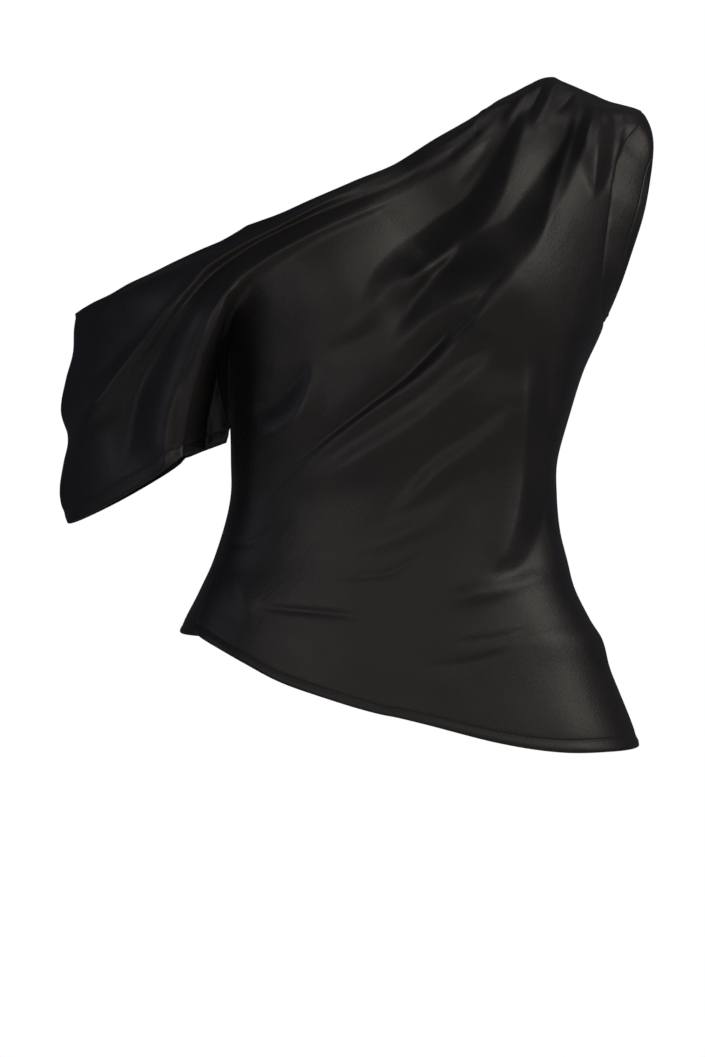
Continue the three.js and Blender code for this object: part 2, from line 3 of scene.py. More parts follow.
import bpy
import numpy as np
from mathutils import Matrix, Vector


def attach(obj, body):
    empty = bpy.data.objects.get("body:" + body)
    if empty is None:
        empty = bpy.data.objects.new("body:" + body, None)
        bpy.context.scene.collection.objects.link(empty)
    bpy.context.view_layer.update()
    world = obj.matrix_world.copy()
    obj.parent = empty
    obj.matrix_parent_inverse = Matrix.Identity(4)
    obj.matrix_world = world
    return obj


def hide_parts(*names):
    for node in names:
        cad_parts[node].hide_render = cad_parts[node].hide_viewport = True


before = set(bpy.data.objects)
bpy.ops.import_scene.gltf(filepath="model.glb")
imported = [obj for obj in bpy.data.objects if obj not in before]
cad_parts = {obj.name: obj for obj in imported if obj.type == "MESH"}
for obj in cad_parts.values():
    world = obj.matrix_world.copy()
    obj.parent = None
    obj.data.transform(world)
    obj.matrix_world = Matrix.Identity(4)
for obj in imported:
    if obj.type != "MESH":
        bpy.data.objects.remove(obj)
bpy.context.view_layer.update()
print("frame loaded")

# All shapes are worked out in millimetres round a figure: z is 0 at the waist, the garment faces
# -y, and x grows towards the gathered shoulder. toPart() brings them to the part's frame.
mmPerMetre = 1000
farOff = 1e6  # a distance that plays no part
tiny = 1e-9

camera = dict(look=(-37.1, -40.0, -32.1), distance=12000.0, shown=880.8, sensor=36, clip=(0.1, 60))
body = dict(
    sectionPower=2.3, frontPower=2.75, girthShare=0.82, topEdgePower=3, shoulderHeight=324.5,
    cadWall=1.6, sectionSteps=6001,
)

# level sections of the figure: z, ends on the left and right, reach to front and back, y
sections = np.array([
    (-235, -222, 208, 110, 128, 4), (-200, -211, 198, 110, 128, 4), (-170, -201, 186, 108, 126, 4),
    (-148, -192, 177.5, 107, 124, 4), (-125, -182.5, 171.5, 105, 121, 3),
    (-108, -176.5, 161, 103, 117, 3), (-83, -164.5, 148.5, 100, 110, 2),
    (-58, -152.5, 142, 97, 104, 2), (-33, -144.5, 136, 95, 98, 1), (-4, -138.5, 133.3, 95, 94, 0),
    (25, -138.5, 134, 99, 93, 0), (62, -139.5, 144, 106, 96, 0), (100, -142, 156, 112, 101, 1),
    (136, -154, 172, 114, 105, 2), (171, -182, 181, 113, 107, 3), (210, -228, 189, 107, 107, 4),
    (250, -240, 198, 95, 103, 6), (280, -150, 207, 78, 92, 8), (300, -75, 211, 61, 74, 9),
    (310, -42, 208, 52, 62, 10), (316, -22, 199, 45, 54, 10), (322, 0, 177, 39, 46, 10),
    (328, 25, 163, 32, 37, 10), (335, 60, 147, 22, 25, 10), (340, 90, 135, 13, 14, 9),
    (343.5, 112, 129, 4, 4, 9),
], float)
bust = [
    dict(x=-73, z=172, wide=50, high=46, height=8),
    dict(x=104, z=172, wide=50, high=46, height=10),
]


# A smooth value along a table, at places counted in its rows.
def hermite(table, place):
    last = len(table) - 1
    i = np.clip(np.floor(place).astype(int), 0, last - 1)
    t = np.clip(place - i, 0, 1)
    if table.ndim > 1:
        t = t[..., None]
    before, here = table[np.maximum(i - 1, 0)], table[i]
    after, beyond = table[i + 1], table[np.minimum(i + 2, last)]
    slopeIn, slopeOut = (after - before) / 2, (beyond - here) / 2
    return ((2 * t**3 - 3 * t**2 + 1) * here + (t**3 - 2 * t**2 + t) * slopeIn
            + (3 * t**2 - 2 * t**3) * after + (t**3 - t**2) * slopeOut)


denseSections = hermite(sections, np.linspace(0, len(sections) - 1, body["sectionSteps"]))


def sectionAt(z):
    return [np.interp(z, denseSections[:, 0], denseSections[:, k]) for k in range(1, 6)]


def bodyPoint(angle, z):
    left, right, front, back, y = sectionAt(z)
    across, toFront = np.cos(angle), np.sin(angle)
    power, frontPower = 2 / body["sectionPower"], body["frontPower"]
    x = (left + right) / 2 - (right - left) / 2 * np.sign(across) * np.abs(across) ** power
    width = np.minimum(np.abs(across) ** power, 1)
    y = y - np.where(toFront > 0, front * (1 - width**frontPower) ** (1 / frontPower),
                     -back * np.abs(toFront) ** power)
    for b in bust:
        away = ((x - b["x"]) / b["wide"]) ** 2 + ((z - b["z"]) / b["high"]) ** 2
        y = y - b["height"] * np.exp(-away) * np.maximum(toFront, 0)
    return np.stack([x, y, z + 0 * x], -1)


shoulderTop = bodyPoint(np.array(math.pi), np.array(body["shoulderHeight"]))
shoulderRest = shoulderTop - [0, 0, body["cadWall"]]


def toPart(points):
    return (np.asarray(points, float) - shoulderRest) / mmPerMetre


# camera, level with the middle of the garment and far back, as in a catalogue picture
lensView = bpy.data.cameras.new("catalogueCamera")
lensView.sensor_width = camera["sensor"]
lensView.lens = camera["sensor"] * camera["distance"] / camera["shown"]
lensView.clip_start, lensView.clip_end = camera["clip"]
cameraObject = bpy.data.objects.new("catalogueCamera", lensView)
bpy.context.scene.collection.objects.link(cameraObject)
lookAt = toPart(camera["look"])
cameraObject.location = (lookAt[0], lookAt[1] - camera["distance"] / mmPerMetre, lookAt[2])
cameraObject.rotation_euler = (math.pi / 2, 0, 0)
bpy.context.scene.camera = cameraObject
print("camera placed")


# A table's values at places that its rows stand at.
def atPlaces(places, stands, table):
    return np.stack([np.interp(places, stands, column) for column in table.T], -1)


def unit(vectors):
    return vectors / np.maximum(np.linalg.norm(vectors, axis=-1, keepdims=True), tiny)


def lengthAlong(line):
    return np.concatenate([[0], np.cumsum(np.linalg.norm(np.diff(line, axis=0), axis=1))])


# A centripetal curve through points, as a function of the share of its length.
def smoothCurve(points, perSpan=40, shortest=1e-4):
    p = np.asarray(points, float)
    p = np.vstack([2 * p[0] - p[1], p, 2 * p[-1] - p[-2]])
    spans = []
    u = np.linspace(0, 1, perSpan, endpoint=False)[:, None]
    for a, b, c, d in zip(p[:-3], p[1:-2], p[2:-1], p[3:]):
        ta, tb, tc = (max(np.linalg.norm(q - r) ** 0.5, shortest)
                      for q, r in ((b, a), (c, b), (d, c)))
        m1 = ((b - a) / ta - (c - a) / (ta + tb) + (c - b) / tb) * tb
        m2 = ((c - b) / tb - (d - b) / (tb + tc) + (d - c) / tc) * tb
        spans.append(b + m1 * u + (3 * (c - b) - 2 * m1 - m2) * u**2
                     + (2 * (b - c) + m1 + m2) * u**3)
    line = np.vstack(spans + [p[-2][None]])
    along = lengthAlong(line)
    return lambda share: atPlaces(share, along / along[-1], line)


# Places on curves laid one after another. index counts each curve's own steps.
def alongParts(parts, index):
    result, start = None, 0
    for curve, steps in parts:
        value = curve(np.clip((index - start) / steps, 0, 1))
        result = value if result is None else np.where((index > start)[:, None], value, result)
        start += steps
    return result


# The body's middle at a height, and the cloth's width from there to its side.
def middleAndGirth(z, side):
    left, right, front, back, _ = sectionAt(z)
    depth = front if side == "front" else back
    return (left + right) / 2, body["girthShare"] * ((right - left) / 2 + depth)


# Places laid flat: how far across the cloth they are, and their height.
def laidFlat(angle, z, side):
    middle, girth = middleAndGirth(z, side)
    return np.stack([middle + girth * (angle / (math.pi / 2) - 1), z], -1)


def onBody(flat, side):
    middle, girth = middleAndGirth(flat[..., 1], side)
    turn = (flat[..., 0] - middle) / girth * math.pi / 2
    return bodyPoint(math.pi / 2 + turn if side == "front" else 1.5 * math.pi - turn, flat[..., 1])


def flatFromX(rows, side):
    x, z = np.asarray(rows, float).T
    left, right = sectionAt(z)[:2]
    reach = np.clip(((left + right) / 2 - x) / ((right - left) / 2), -1, 1)
    angle = np.arccos(np.sign(reach) * np.abs(reach) ** (body["sectionPower"] / 2))
    return laidFlat(angle, z, side)


# A line given by its height and its turn from a side line, as a function of its share.
def turnLine(rows, edge, side, turnsTo=None):
    curve = smoothCurve([(turn, z) for z, turn in rows])

    def place(share):
        turn, z = curve(share).T
        towards = turn if (turnsTo or side) == side else -turn
        return laidFlat(np.radians(towards if edge == "left" else 180 - towards), z, side)

    return place


# The cut lines: (z, turn) for those up the sides, (x, z) for hem and neck. Rows and columns count
# the grid's steps along them, perStep and hemParts the lines in a step and in one at a hem. pinch
# is the height at which the body and the draped sleeve's fold part.
cut = dict(
    sideRows=17, farSideRows=22, jointLowRows=11, jointTopRows=9, armholeRows=15,
    neckColumns=dict(front=28, back=18), shoulderColumns=9, pinch=171, perStep=5, hemParts=8,
    hem=dict(
        front=[(-165.5, -121), (-149, -131), (-128, -143), (-97.5, -159), (-64, -171), (19, -193),
               (86, -210), (136, -217.5), (180, -217)],
        back=[(-172, -118), (-150, -122), (-110, -138), (-40, -166), (30, -188), (100, -204),
              (170, -211)],
    ),
    leftSide=[(-121, 26), (-107, 22), (-90, 19), (-65, 14), (-45, 8), (-22, 2), (10, 0), (55, 0)],
    rightSide=[(-213, 0), (-40, 0), (136, 0)],
    jointLow=dict(
        front=[(55, 0), (80, 6), (105, 15), (130, 28), (150, 40), (163, 47.5), (171, 51)],
        back=[(55, 0), (80, 6), (105, 15), (130, 29), (148, 42), (160, 50)],
    ),
    jointTop=dict(
        front=[(171, 51), (182, 56), (198, 61), (219, 64)],
        back=[(160, 50), (175, 57), (190, 61), (207, 64)],
    ),
    armhole=[(136, 0), (143, 9), (155, 17), (171, 21), (192, 23), (214, 24), (236, 25), (253, 26.5),
             (270, 29), (286, 30), (298, 28), (307, 20), (312, 10), (314.5, 0)],
    shoulder=[(342.6, 0), (338, 0), (328, 0), (320, 0), (314.5, 0)],
    neck=dict(
        front=[(-97.5, 230), (-69, 243), (-35, 258.2), (-1, 273.4), (26.7, 290.8), (50, 304.6),
               (67.5, 315.2), (81.7, 325), (98, 333.4), (111, 339.6), (121, 343)],
        back=[(-95, 219), (-66, 232), (-32, 246), (0, 259), (28, 275), (52, 290), (72, 305),
              (87, 317), (101, 327), (114, 335.5), (123, 341)],
    ),
)

# the draped sleeve, with x, y and z of its front half's lines
sleeve = dict(
    neckRows=10, armRows=10, bulge=26, bulgePower=0.75, foldForward=13, forwardRate=3,
    roundFrom=0.4, hemSag=5, sagPower=3, backDrop=10, backDepth=0.92, tuckPower=5, tuckRate=3,
    seamFade=(3, 2), underarmHem=(-143, 2, 40),
    neck=[(-145, -92, 208.4), (-164, -87, 200.4), (-185, -78, 191.4), (-206, -66, 181),
          (-225, -52, 171.8), (-240, -38, 163), (-252, -24, 157), (-261, -10, 152),
          (-268, 6, 147.5)],
    arm=[(-268, 6, 147.5), (-270, 6, 135), (-271, 6, 115), (-277, 6, 92), (-281, 6, 66),
         (-275, 6, 44), (-279, 6, 22), (-282, 6, 2), (-281, 6, -11), (-275, 6, -27)],
    fold=[(-128, -98, 169.5), (-134, -100, 167), (-141, -99, 160), (-146, -96, 147.5),
          (-152.5, -91, 131.7), (-159, -86, 115.8), (-164, -82, 98), (-169, -78, 80),
          (-173, -74, 62.5), (-175, -70, 44), (-178, -65, 28.5)],
)

# the cap sleeve, with x, y and z of its free edge's front half
cap = dict(
    middle=9, crown=5, rise=(0.8, 0.6), reach=0.3, gathers=7, gatherHeight=1.1, fineGathers=19,
    fineHeight=0.8, fineFade=3, swing=0.006, swingTurns=23, waveShare=0.5, seamDip=0.6,
    seamWide=2, columns=30, rows=230, perSpan=4,
    edge=[(176, -7, 146), (180.5, -15, 156), (188, -23, 175), (197, -28, 202), (204.5, -29, 226),
          (208, -26, 241), (211, -20, 258), (213, -10, 272), (213.5, 9, 280)],
)


# Grid lines at parts of the steps, and closer ones in the step at the hem.
def fineSteps(count, hemStep=None):
    lines = []
    for i in range(count):
        parts = cut["hemParts"] if i == hemStep else cut["perStep"]
        lines += [i + k / parts for k in range(parts)]
    return np.array(lines + [count], float)


# A panel of the body as a grid of points, with the steps at its rows and columns.
def panelGrid(side):
    low, top = cut["jointLow"][side], cut["jointTop"][side]
    leftParts = [
        (turnLine(cut["leftSide"], "left", side, "front"), cut["sideRows"]),
        (turnLine(low, "left", side), cut["jointLowRows"]),
        (turnLine(top, "left", side), cut["jointTopRows"]),
    ]
    rightParts = [
        (turnLine(cut["rightSide"], "right", side), cut["farSideRows"]),
        (turnLine(cut["armhole"], "right", side), cut["armholeRows"]),
    ]
    rowCount = sum(steps for _, steps in leftParts)
    neckColumns = cut["neckColumns"][side]
    columnCount = neckColumns + cut["shoulderColumns"]
    rows, columns = fineSteps(rowCount, 0), fineSteps(columnCount)
    left, right = alongParts(leftParts, rows), alongParts(rightParts, rows)
    shoulder = turnLine(cut["shoulder"], "right", side)
    hem = smoothCurve([left[0], *flatFromX(cut["hem"][side], side), right[0]])
    neck = smoothCurve([left[-1], *flatFromX(cut["neck"][side], side), shoulder(np.zeros(1))[0]])
    bottom = hem(columns / columnCount)
    above = alongParts([(neck, neckColumns), (shoulder, cut["shoulderColumns"])], columns)
    u = (columns / columnCount)[None, :, None]
    v = ((rows / rowCount) ** body["topEdgePower"])[:, None, None]
    across = left[:, None] * (1 - u) + right[:, None] * u
    along = bottom[None] * (1 - v) + above[None] * v
    lowCorners = bottom[0] * (1 - u) + bottom[-1] * u
    topCorners = above[0] * (1 - u) + above[-1] * u
    flat = across + along - (lowCorners * (1 - v) + topCorners * v)
    return onBody(flat, side), rows, columns


# Half of the draped sleeve, from its joint with the body out to its hem: its outer face and its
# underside, which meet at the fold. It is welded to the body's panel, as the two are cut in one.
def sleeveHalfGrid(side, jointLow, jointTop):
    isBack = side == "back"
    depth = -sleeve["backDepth"] if isBack else 1
    drop = sleeve["backDrop"] if isBack else 0
    seamTop, seamLow = jointTop[::-1], jointLow[::-1]
    neckLine = [(x, y * depth, z - drop) for x, y, z in sleeve["neck"][:-1]]
    neckCurve = smoothCurve([seamTop[0], *neckLine, sleeve["neck"][-1]])
    foldLine = [(x, y * depth, z - drop * z / cut["pinch"]) for x, y, z in sleeve["fold"]]
    foldCurve = smoothCurve([seamTop[-1], *foldLine])
    count = sleeve["neckRows"] + sleeve["armRows"]
    lines = fineSteps(count, count - 1)
    underarm, underarmHem = seamLow[-1], np.array(sleeve["underarmHem"], float)
    above = alongParts([(neckCurve, sleeve["neckRows"]),
                        (smoothCurve(sleeve["arm"]), sleeve["armRows"])], lines)[:, None]
    s = (lines / count)[:, None, None]
    edge = foldCurve(lines / count)[:, None]
    end = underarm + (underarmHem - underarm) * s
    roundness = np.minimum(1, s / sleeve["roundFrom"])
    roundness = roundness**2 * (3 - 2 * roundness)
    growing = np.minimum(1, lines / count * sleeve["forwardRate"])
    edge[..., 1] -= (depth * sleeve["foldForward"] * growing)[:, None]
    t = np.linspace(0, 1, len(seamTop))[None, :-1, None]
    across = t * (1 - roundness) + (1 - np.cos(np.pi * t)) / 2 * roundness
    face = above + (edge - above) * across
    straight = seamTop[0] + (seamTop[-1] - seamTop[0]) * t
    face = face + (seamTop[None, :-1] - straight) * (1 - s) ** sleeve["seamFade"][0]
    bow = np.sin(np.pi * t)
    face[..., 1] -= (depth * sleeve["bulge"] * roundness * bow ** sleeve["bulgePower"])[..., 0]
    face[..., 2] -= (sleeve["hemSag"] * s ** sleeve["sagPower"] * bow)[..., 0]
    face[0] = seamTop[:-1]
    t = np.linspace(0, 1, len(seamLow))[None, :, None]
    straight = seamLow[0] + (seamLow[-1] - seamLow[0]) * t
    under = edge + (end - edge) * t + (seamLow[None] - straight) * (1 - s) ** sleeve["seamFade"][1]
    deeper = (1 - (1 - t) ** sleeve["tuckPower"] - t) * np.minimum(1, s * sleeve["tuckRate"])
    under[..., 1] += ((end - edge) * deeper)[..., 1]
    under[0] = seamLow
    return np.concatenate([face, under], 1), lines


# A fold as seen from the front: the line that it follows, with widths and heights along it. sharp
# is 2 for a soft fold and less for a crisp one. With slope, the fold is a steep face instead,
# higher on the line's left, and slope says over how many widths the cloth levels out again. start
# is the height's share at the line's start, out how fast it fades at the end.
def fold(line, wide, high, sharp=2.0, slope=0.0, start=0.25, out=3.5):
    return dict(line=line, wide=np.array(wide, float), high=np.array(high, float), sharp=sharp,
                slope=slope, start=start, out=out)


frontFolds = [
    # draped sleeve
    fold([(38, 289), (12, 275), (-4, 266), (-35, 252), (-67, 236), (-98, 219), (-131, 202),
         (-158, 184), (-172, 168), (-188, 149), (-204, 128), (-219, 109), (-234, 90), (-247, 72),
         (-262, 54), (-274, 36)], (2.4, 2.6, 3, 6, 12), (2.4, 3.6, 4.4, 10, 22), sharp=1.6,
         start=0.15, out=9),
    fold([(16, 256), (-32, 237), (-73, 219), (-112, 198), (-145, 174), (-164, 152), (-176, 130),
         (-187, 107), (-196, 86), (-202, 68), (-207, 40), (-213, 10)],
         (4, 7, 8, 9, 10, 14, 17, 18, 18), (1.5, 7, 10, 11, 15, 19, 21, 22, 22), slope=0.7, out=12),
    fold([(-130, 174), (-140, 166), (-149, 152), (-156, 137), (-163, 118), (-168, 100), (-173, 80),
         (-177, 60), (-178, 40), (-181, 22)], (2, 4, 6, 7, 7), (1, 5, 9, 12, 12), slope=1.4,
         start=0.3, out=12),
    fold([(-170, 26), (-166, 42), (-165, 62), (-160, 82), (-155, 100), (-149, 118), (-143, 134),
         (-138, 148), (-132, 160)], (5, 5, 4, 3), (16, 16, 12, 4), slope=1, start=0.9),
    fold([(-128, 170), (-136, 164), (-144, 152), (-151, 138), (-157, 120), (-163, 100), (-167, 80),
         (-170, 60), (-171, 40), (-174, 26)], (2, 3, 4), (1.5, 3.5, 4), start=0.5, out=12),
    fold([(-279, 53), (-267, 62), (-254, 71), (-237, 82)], (3, 4, 4), (1.4, 2.4, 1), sharp=1.6),
    fold([(-275, 88), (-252, 102), (-228, 115)], (8, 10, 8), (1.6, 2.4, 1.2)),
    fold([(-264, 142), (-250, 145), (-236, 147)], (8, 9, 6), (1.2, 2, 1)),
    # neckline
    fold([(-110, 209), (-84, 220), (-40, 239), (0, 257), (36, 279), (62, 297)], (4, 5, 4),
         (-2, -3.5, -2), sharp=1.5),
    fold([(-42, 241), (-11, 254), (15, 268), (42, 284), (70, 304)], (2, 2.4, 2), (0.8, 1.5, 0.8),
         sharp=1.6),
    fold([(20, 262), (44, 279), (68, 300), (86, 315)], (3, 4, 3), (-1.6, -2.6, -1.4), sharp=1.5),
    fold([(46, 272), (66, 288), (84, 306)], (4, 6, 5), (1.5, 2.4, 1)),
    # gathered shoulder down to the bust
    fold([(108, 326), (104, 312), (98, 296), (87, 273), (76, 250), (63, 232), (48, 219), (27, 203),
         (5, 189), (-16, 170), (-30, 146)], (3.5, 8, 14, 16.5, 12, 5), (4, 13, 22, 26, 21, 8),
         slope=3),
    fold([(156, 322), (155, 309), (149, 292), (139, 273), (129, 255), (117, 237), (101, 213),
         (80, 195), (56, 177), (34, 161), (17, 146), (4, 128), (-6, 110)],
         (4, 9, 13, 16, 23, 17, 9.5, 5), (5, 14, 24, 30, 36, 37, 27, 11), slope=2.8),
    fold([(54, 210), (44, 201), (30, 189), (14, 173), (2, 158)], (3, 5, 6, 4), (1, 4.5, 5, 2)),
    fold([(164, 244), (168, 256), (172, 271), (177, 292), (178, 310), (178, 320)],
         (3, 6, 9, 11, 10, 6), (3, 8, 13, 14, 12, 6), slope=1.2),
    fold([(152, 324), (147, 300), (136, 268), (124, 230), (115, 192)], (3, 4, 7), (2, 3.5, 2),
         sharp=1.6),
    fold([(132, 340), (126, 326), (119, 310), (112, 290)], (4, 6, 6), (3.5, 5, 1.5)),
    fold([(147, 330), (139, 322), (131, 313)], (3, 4, 4), (-3, -4, -1), sharp=1.5),
    fold([(122, 336), (112, 318), (105, 304)], (3, 4, 4), (-2.5, -3.5, -1), sharp=1.5),
    fold([(165, 326), (163, 312), (158, 296), (150, 270)], (3, 4, 5), (2.5, 4, 1.5), sharp=1.7),
    fold([(170, 324), (174, 312), (179, 298)], (2, 2.4, 2), (1.8, 2.4, 1), sharp=1.5),
    fold([(184, 320), (187, 308), (186, 294), (182, 274), (176, 250)], (2.6, 3.4, 3), (2, 3.6, 1),
         sharp=1.6),
    fold([(108, 334), (98, 316), (86, 300)], (3.4, 4.4, 4), (1.6, 2.6, 1)),
    fold([(84, 300), (74, 286), (60, 268), (40, 246)], (4, 5, 5), (-1, -2, -1)),
    # bust to waist
    fold([(98, 184), (88, 172), (78, 162), (50, 131), (15, 95), (-25, 65), (-64, 35), (-101, 3),
         (-124, -20)], (5, 5.4, 3, 2, 1.8), (11, 14, 9, 6, 3), slope=4, start=0.0),
    fold([(86, 165), (54, 128), (18, 91), (-22, 61), (-63, 32), (-101, 0), (-126, -25)],
         (1.5, 1.6, 1.6), (-1.5, -2, -1), sharp=1.3),
    fold([(104, 140), (83, 121), (48, 93), (10, 64), (-30, 38), (-70, 14), (-104, -8)],
         (5, 8, 9, 8, 6), (2, 7, 8, 6, 2), slope=2.2),
    fold([(94, 68), (64, 43), (34, 22), (10, -2), (-12, -26)], (4, 6, 6, 4), (1.5, 4.5, 4.5, 1.5),
         slope=2.2),
    fold([(60, 12), (30, -14), (-10, -36), (-50, -50)], (6, 8, 6), (1, 3, 1.4), slope=2.2),
    fold([(-42, 128), (-24, 146), (-4, 166)], (6, 8, 6), (1, 2, 1)),
    fold([(-60, 112), (-36, 122), (-8, 138)], (6, 8, 6), (-1, -1.8, -1)),
    fold([(-72, 104), (-84, 80), (-100, 62), (-128, 48)], (4, 11, 9), (4, 16, 7), slope=1.6,
         start=0.1),
    fold([(-112, 190), (-117, 140), (-121, 90), (-122, 30), (-126, -40)], (18, 24, 24, 20, 14),
         (3, 7, 7, 6, 4)),
    fold([(70, -78), (92, -63), (106, -36), (113, 0), (116, 60), (115, 110), (112, 150)],
         (6, 11, 12, 11, 10, 10, 8), (3, 10, 12, 11, 11, 10, 4), slope=1.6),
    fold([(126, -70), (78, -83), (30, -92)], (6, 8, 7), (2, 3.4, 1.4)),
    fold([(-130, 84), (-118, 76), (-106, 74)], (4, 5, 4), (-1, -1.6, -1)),
    # left side, waist to hem
    fold([(-147, -44), (-123, -44), (-104, -34), (-84, -20)], (3, 4, 4), (-1.4, -1.6, -0.8),
         sharp=1.5),
    fold([(-142, -70), (-137, -86), (-131, -99), (-120, -112)], (5, 7, 6), (1.4, 3, 1.4),
         slope=1.8),
    fold([(-115, -97), (-84, -100), (-52, -103), (-16, -107)], (2.4, 3, 2.4), (-1.4, -2.2, -0.8),
         sharp=1.6),
    fold([(40, -30), (14, -44), (-16, -54), (-50, -58)], (6, 8, 6), (-0.5, -0.9, -0.5)),
    fold([(24, -52), (-8, -69), (-54, -73)], (1.8, 2.4, 1.8), (-0.8, -1.5, -0.6), sharp=1.5),
    fold([(46, -128), (88, -122), (128, -112)], (3, 4, 3), (-0.8, -1.8, -0.8), sharp=1.6),
    fold([(20, -147), (58, -144), (106, -128)], (3, 4, 3), (-0.6, -1.4, -0.6), sharp=1.6),
    fold([(-60, -128), (0, -150), (70, -168)], (12, 16, 12), (0.6, 1.2, 0.6)),
]

# the back's folds, as seen through from the front
backFolds = [
    fold([(110, 318), (60, 270), (0, 232), (-70, 205), (-140, 170), (-190, 120), (-230, 70)],
         (7, 11, 15), (3, 6, 5)),
    fold([(125, 300), (80, 244), (20, 203), (-50, 172), (-120, 130), (-176, 70)], (6, 13, 13),
         (-4, -7, -5)),
    fold([(158, 322), (148, 280), (122, 226), (86, 170), (50, 118)], (6, 12, 10), (-5, -6, -2.5)),
    fold([(172, 318), (164, 280), (150, 232), (128, 178)], (6, 10, 12), (4, 4.5, 2)),
    fold([(98, 120), (50, 76), (-10, 36), (-76, 4), (-122, -20)], (5, 5.5, 5), (-2, -4.5, -2),
         sharp=1.4),
    fold([(120, -40), (50, -76), (-30, -92), (-110, -88)], (12, 16, 12), (1.2, 2.5, 1.5)),
    fold([(96, 300), (52, 250), (4, 214), (-60, 186)], (4, 6, 5), (-1.4, -2.6, -1.2), sharp=1.6),
    fold([(80, 290), (36, 250), (-20, 224), (-80, 204)], (3.4, 4, 3.6), (1, 1.8, 0.8), sharp=1.5),
    fold([(140, 324), (132, 290), (116, 256), (92, 214)], (5, 8, 9), (3, 4, 2)),
    fold([(182, 312), (176, 284), (168, 250)], (3.6, 5, 5), (-3, -3, -1.5)),
    fold([(148, 332), (143, 316), (136, 296)], (3.2, 4, 4), (-2, -2, -1), sharp=1.5),
    fold([(165, 326), (162, 310), (157, 292)], (3.2, 3.8, 4), (-1.8, -2, -1), sharp=1.5),
    fold([(188, 318), (186, 304), (182, 284)], (3, 3.6, 4), (-1.6, -1.8, -0.8), sharp=1.5),
    fold([(104, 138), (62, 96), (10, 62), (-50, 30)], (9, 11, 9), (1.4, 2.6, 1.4)),
    fold([(80, 60), (20, 22), (-44, -6), (-100, -30)], (11, 13, 11), (1, 2, 1)),
    fold([(110, 30), (60, -8), (0, -34), (-70, -54)], (10, 12, 10), (-1, -2.2, -1)),
    fold([(60, 150), (20, 118), (-30, 96), (-84, 70)], (8, 10, 8), (-1.2, -2.8, -1.2)),
    fold([(-80, 110), (-104, 80), (-128, 56)], (7, 9, 7), (-1.6, -2.8, -1.6)),
    fold([(-150, 168), (-184, 128), (-206, 80), (-214, 36)], (8, 10, 12), (2, 4, 3)),
    fold([(-170, 174), (-206, 138), (-232, 96), (-250, 52)], (6, 9, 10), (-1.5, -3.5, -2)),
    fold([(-236, 140), (-252, 112), (-262, 84)], (6, 8, 8), (1, 2.2, 1)),
    fold([(-138, -60), (-126, -82), (-104, -98), (-70, -106)], (6, 8, 7), (-1.2, -2, -1)),
    fold([(130, -60), (104, -84), (60, -104), (0, -116)], (9, 13, 10), (-1, -2, -1)),
    fold([(128, -110), (80, -130), (20, -140), (-50, -130)], (12, 16, 12), (1, 2, 1)),
]


def within(distance, wide):
    return np.exp(-((distance / wide) ** 2))


foldForm = dict(spots=90, blend=6.0, spread=0.4, reach=3.2, slopeReach=1.6, low=0.4, soft=0.5,
                flat=0.8, runIn=6, least=-50)


# The height of the folds at places seen from the front. Each place takes the mean of the line's
# nearest spots, so that no crease shows inside a fold's bends.
def foldHeights(x, z, folds):
    total = np.zeros_like(x)
    spots, soft = foldForm["spots"], foldForm["soft"]
    for f in folds:
        line = smoothCurve(f["line"])(np.linspace(0, 1, spots))
        step = np.linalg.norm(np.diff(line, axis=0), axis=1).mean()
        tx, tz = unit(np.gradient(line, axis=0)).T
        reach = (foldForm["reach"] + foldForm["slopeReach"] * f["slope"]) * f["wide"].max()
        low, high = line.min(0) - reach, line.max(0) + reach
        near = np.nonzero((x > low[0]) & (x < high[0]) & (z > low[1]) & (z < high[1]))[0]
        if not len(near):
            continue
        dx, dz = x[near, None] - line[None, :, 0], z[near, None] - line[None, :, 1]
        squared = dx**2 + dz**2
        least = squared.min(1)[:, None]
        weight = np.exp((least - squared) / (foldForm["blend"] ** 2 + foldForm["spread"] * least))
        weight /= weight.sum(1)[:, None]
        aside = ((tx * dz - tz * dx) * weight).sum(1)
        along = ((np.arange(spots) + (dx * tx + dz * tz) / step) * weight).sum(1) / (spots - 1)
        beyond = np.maximum(np.maximum(-along, along - 1), 0) * step * (spots - 1)
        share = np.clip(along, 0, 1)
        wide, high = (hermite(f[k], share * (len(f[k]) - 1)) for k in ("wide", "high"))
        fade = np.minimum(np.minimum(1, f["start"] + foldForm["runIn"] * share),
                          f["out"] * (1 - share))
        if f["slope"]:
            rise = np.clip(aside / wide / 2 + 0.5, 0, 1)
            rise = (1 - soft) * rise + soft * rise**2 * (3 - 2 * rise)
            level = within(np.maximum(np.abs(aside) / wide - foldForm["flat"], 0), f["slope"])
            profile = (rise - foldForm["low"]) * level * within(beyond / wide, 1)
        else:
            away = (np.hypot(aside, beyond) / wide) ** f["sharp"]
            profile = np.exp(np.maximum(-away, foldForm["least"]))
        total[near] += high * fade * profile
    return total


waves = dict(count=14, height=0.32, shortest=26.0, longest=90.0, phase=6.3, seed=7)


# Faint unevenness of worn cloth: sums of slow waves in many directions.
def softWaves(p):
    rng = np.random.default_rng(waves["seed"])
    longest, total = waves["longest"], np.zeros(len(p))
    for _ in range(waves["count"]):
        direction = unit(rng.normal(size=3))
        length = rng.uniform(waves["shortest"], longest)
        turn = p @ direction * 2 * math.pi / length + rng.uniform(0, waves["phase"])
        total += np.sin(turn) * length / longest
    return total * waves["height"] / math.sqrt(waves["count"] / 2)


# How far each grid point is from the grid's first or last line, measured on the cloth.
def gridLengths(grid, axis, fromEnd=False):
    g = np.flip(grid, axis) if fromEnd else grid
    steps = np.linalg.norm(np.diff(g, axis=axis), axis=-1)
    zero = np.zeros_like(np.take(steps, [0], axis))
    lengths = np.concatenate([zero, np.cumsum(steps, axis)], axis)
    return np.flip(lengths, axis) if fromEnd else lengths


def farAway(points):
    return np.full(points.shape[:2], farOff)


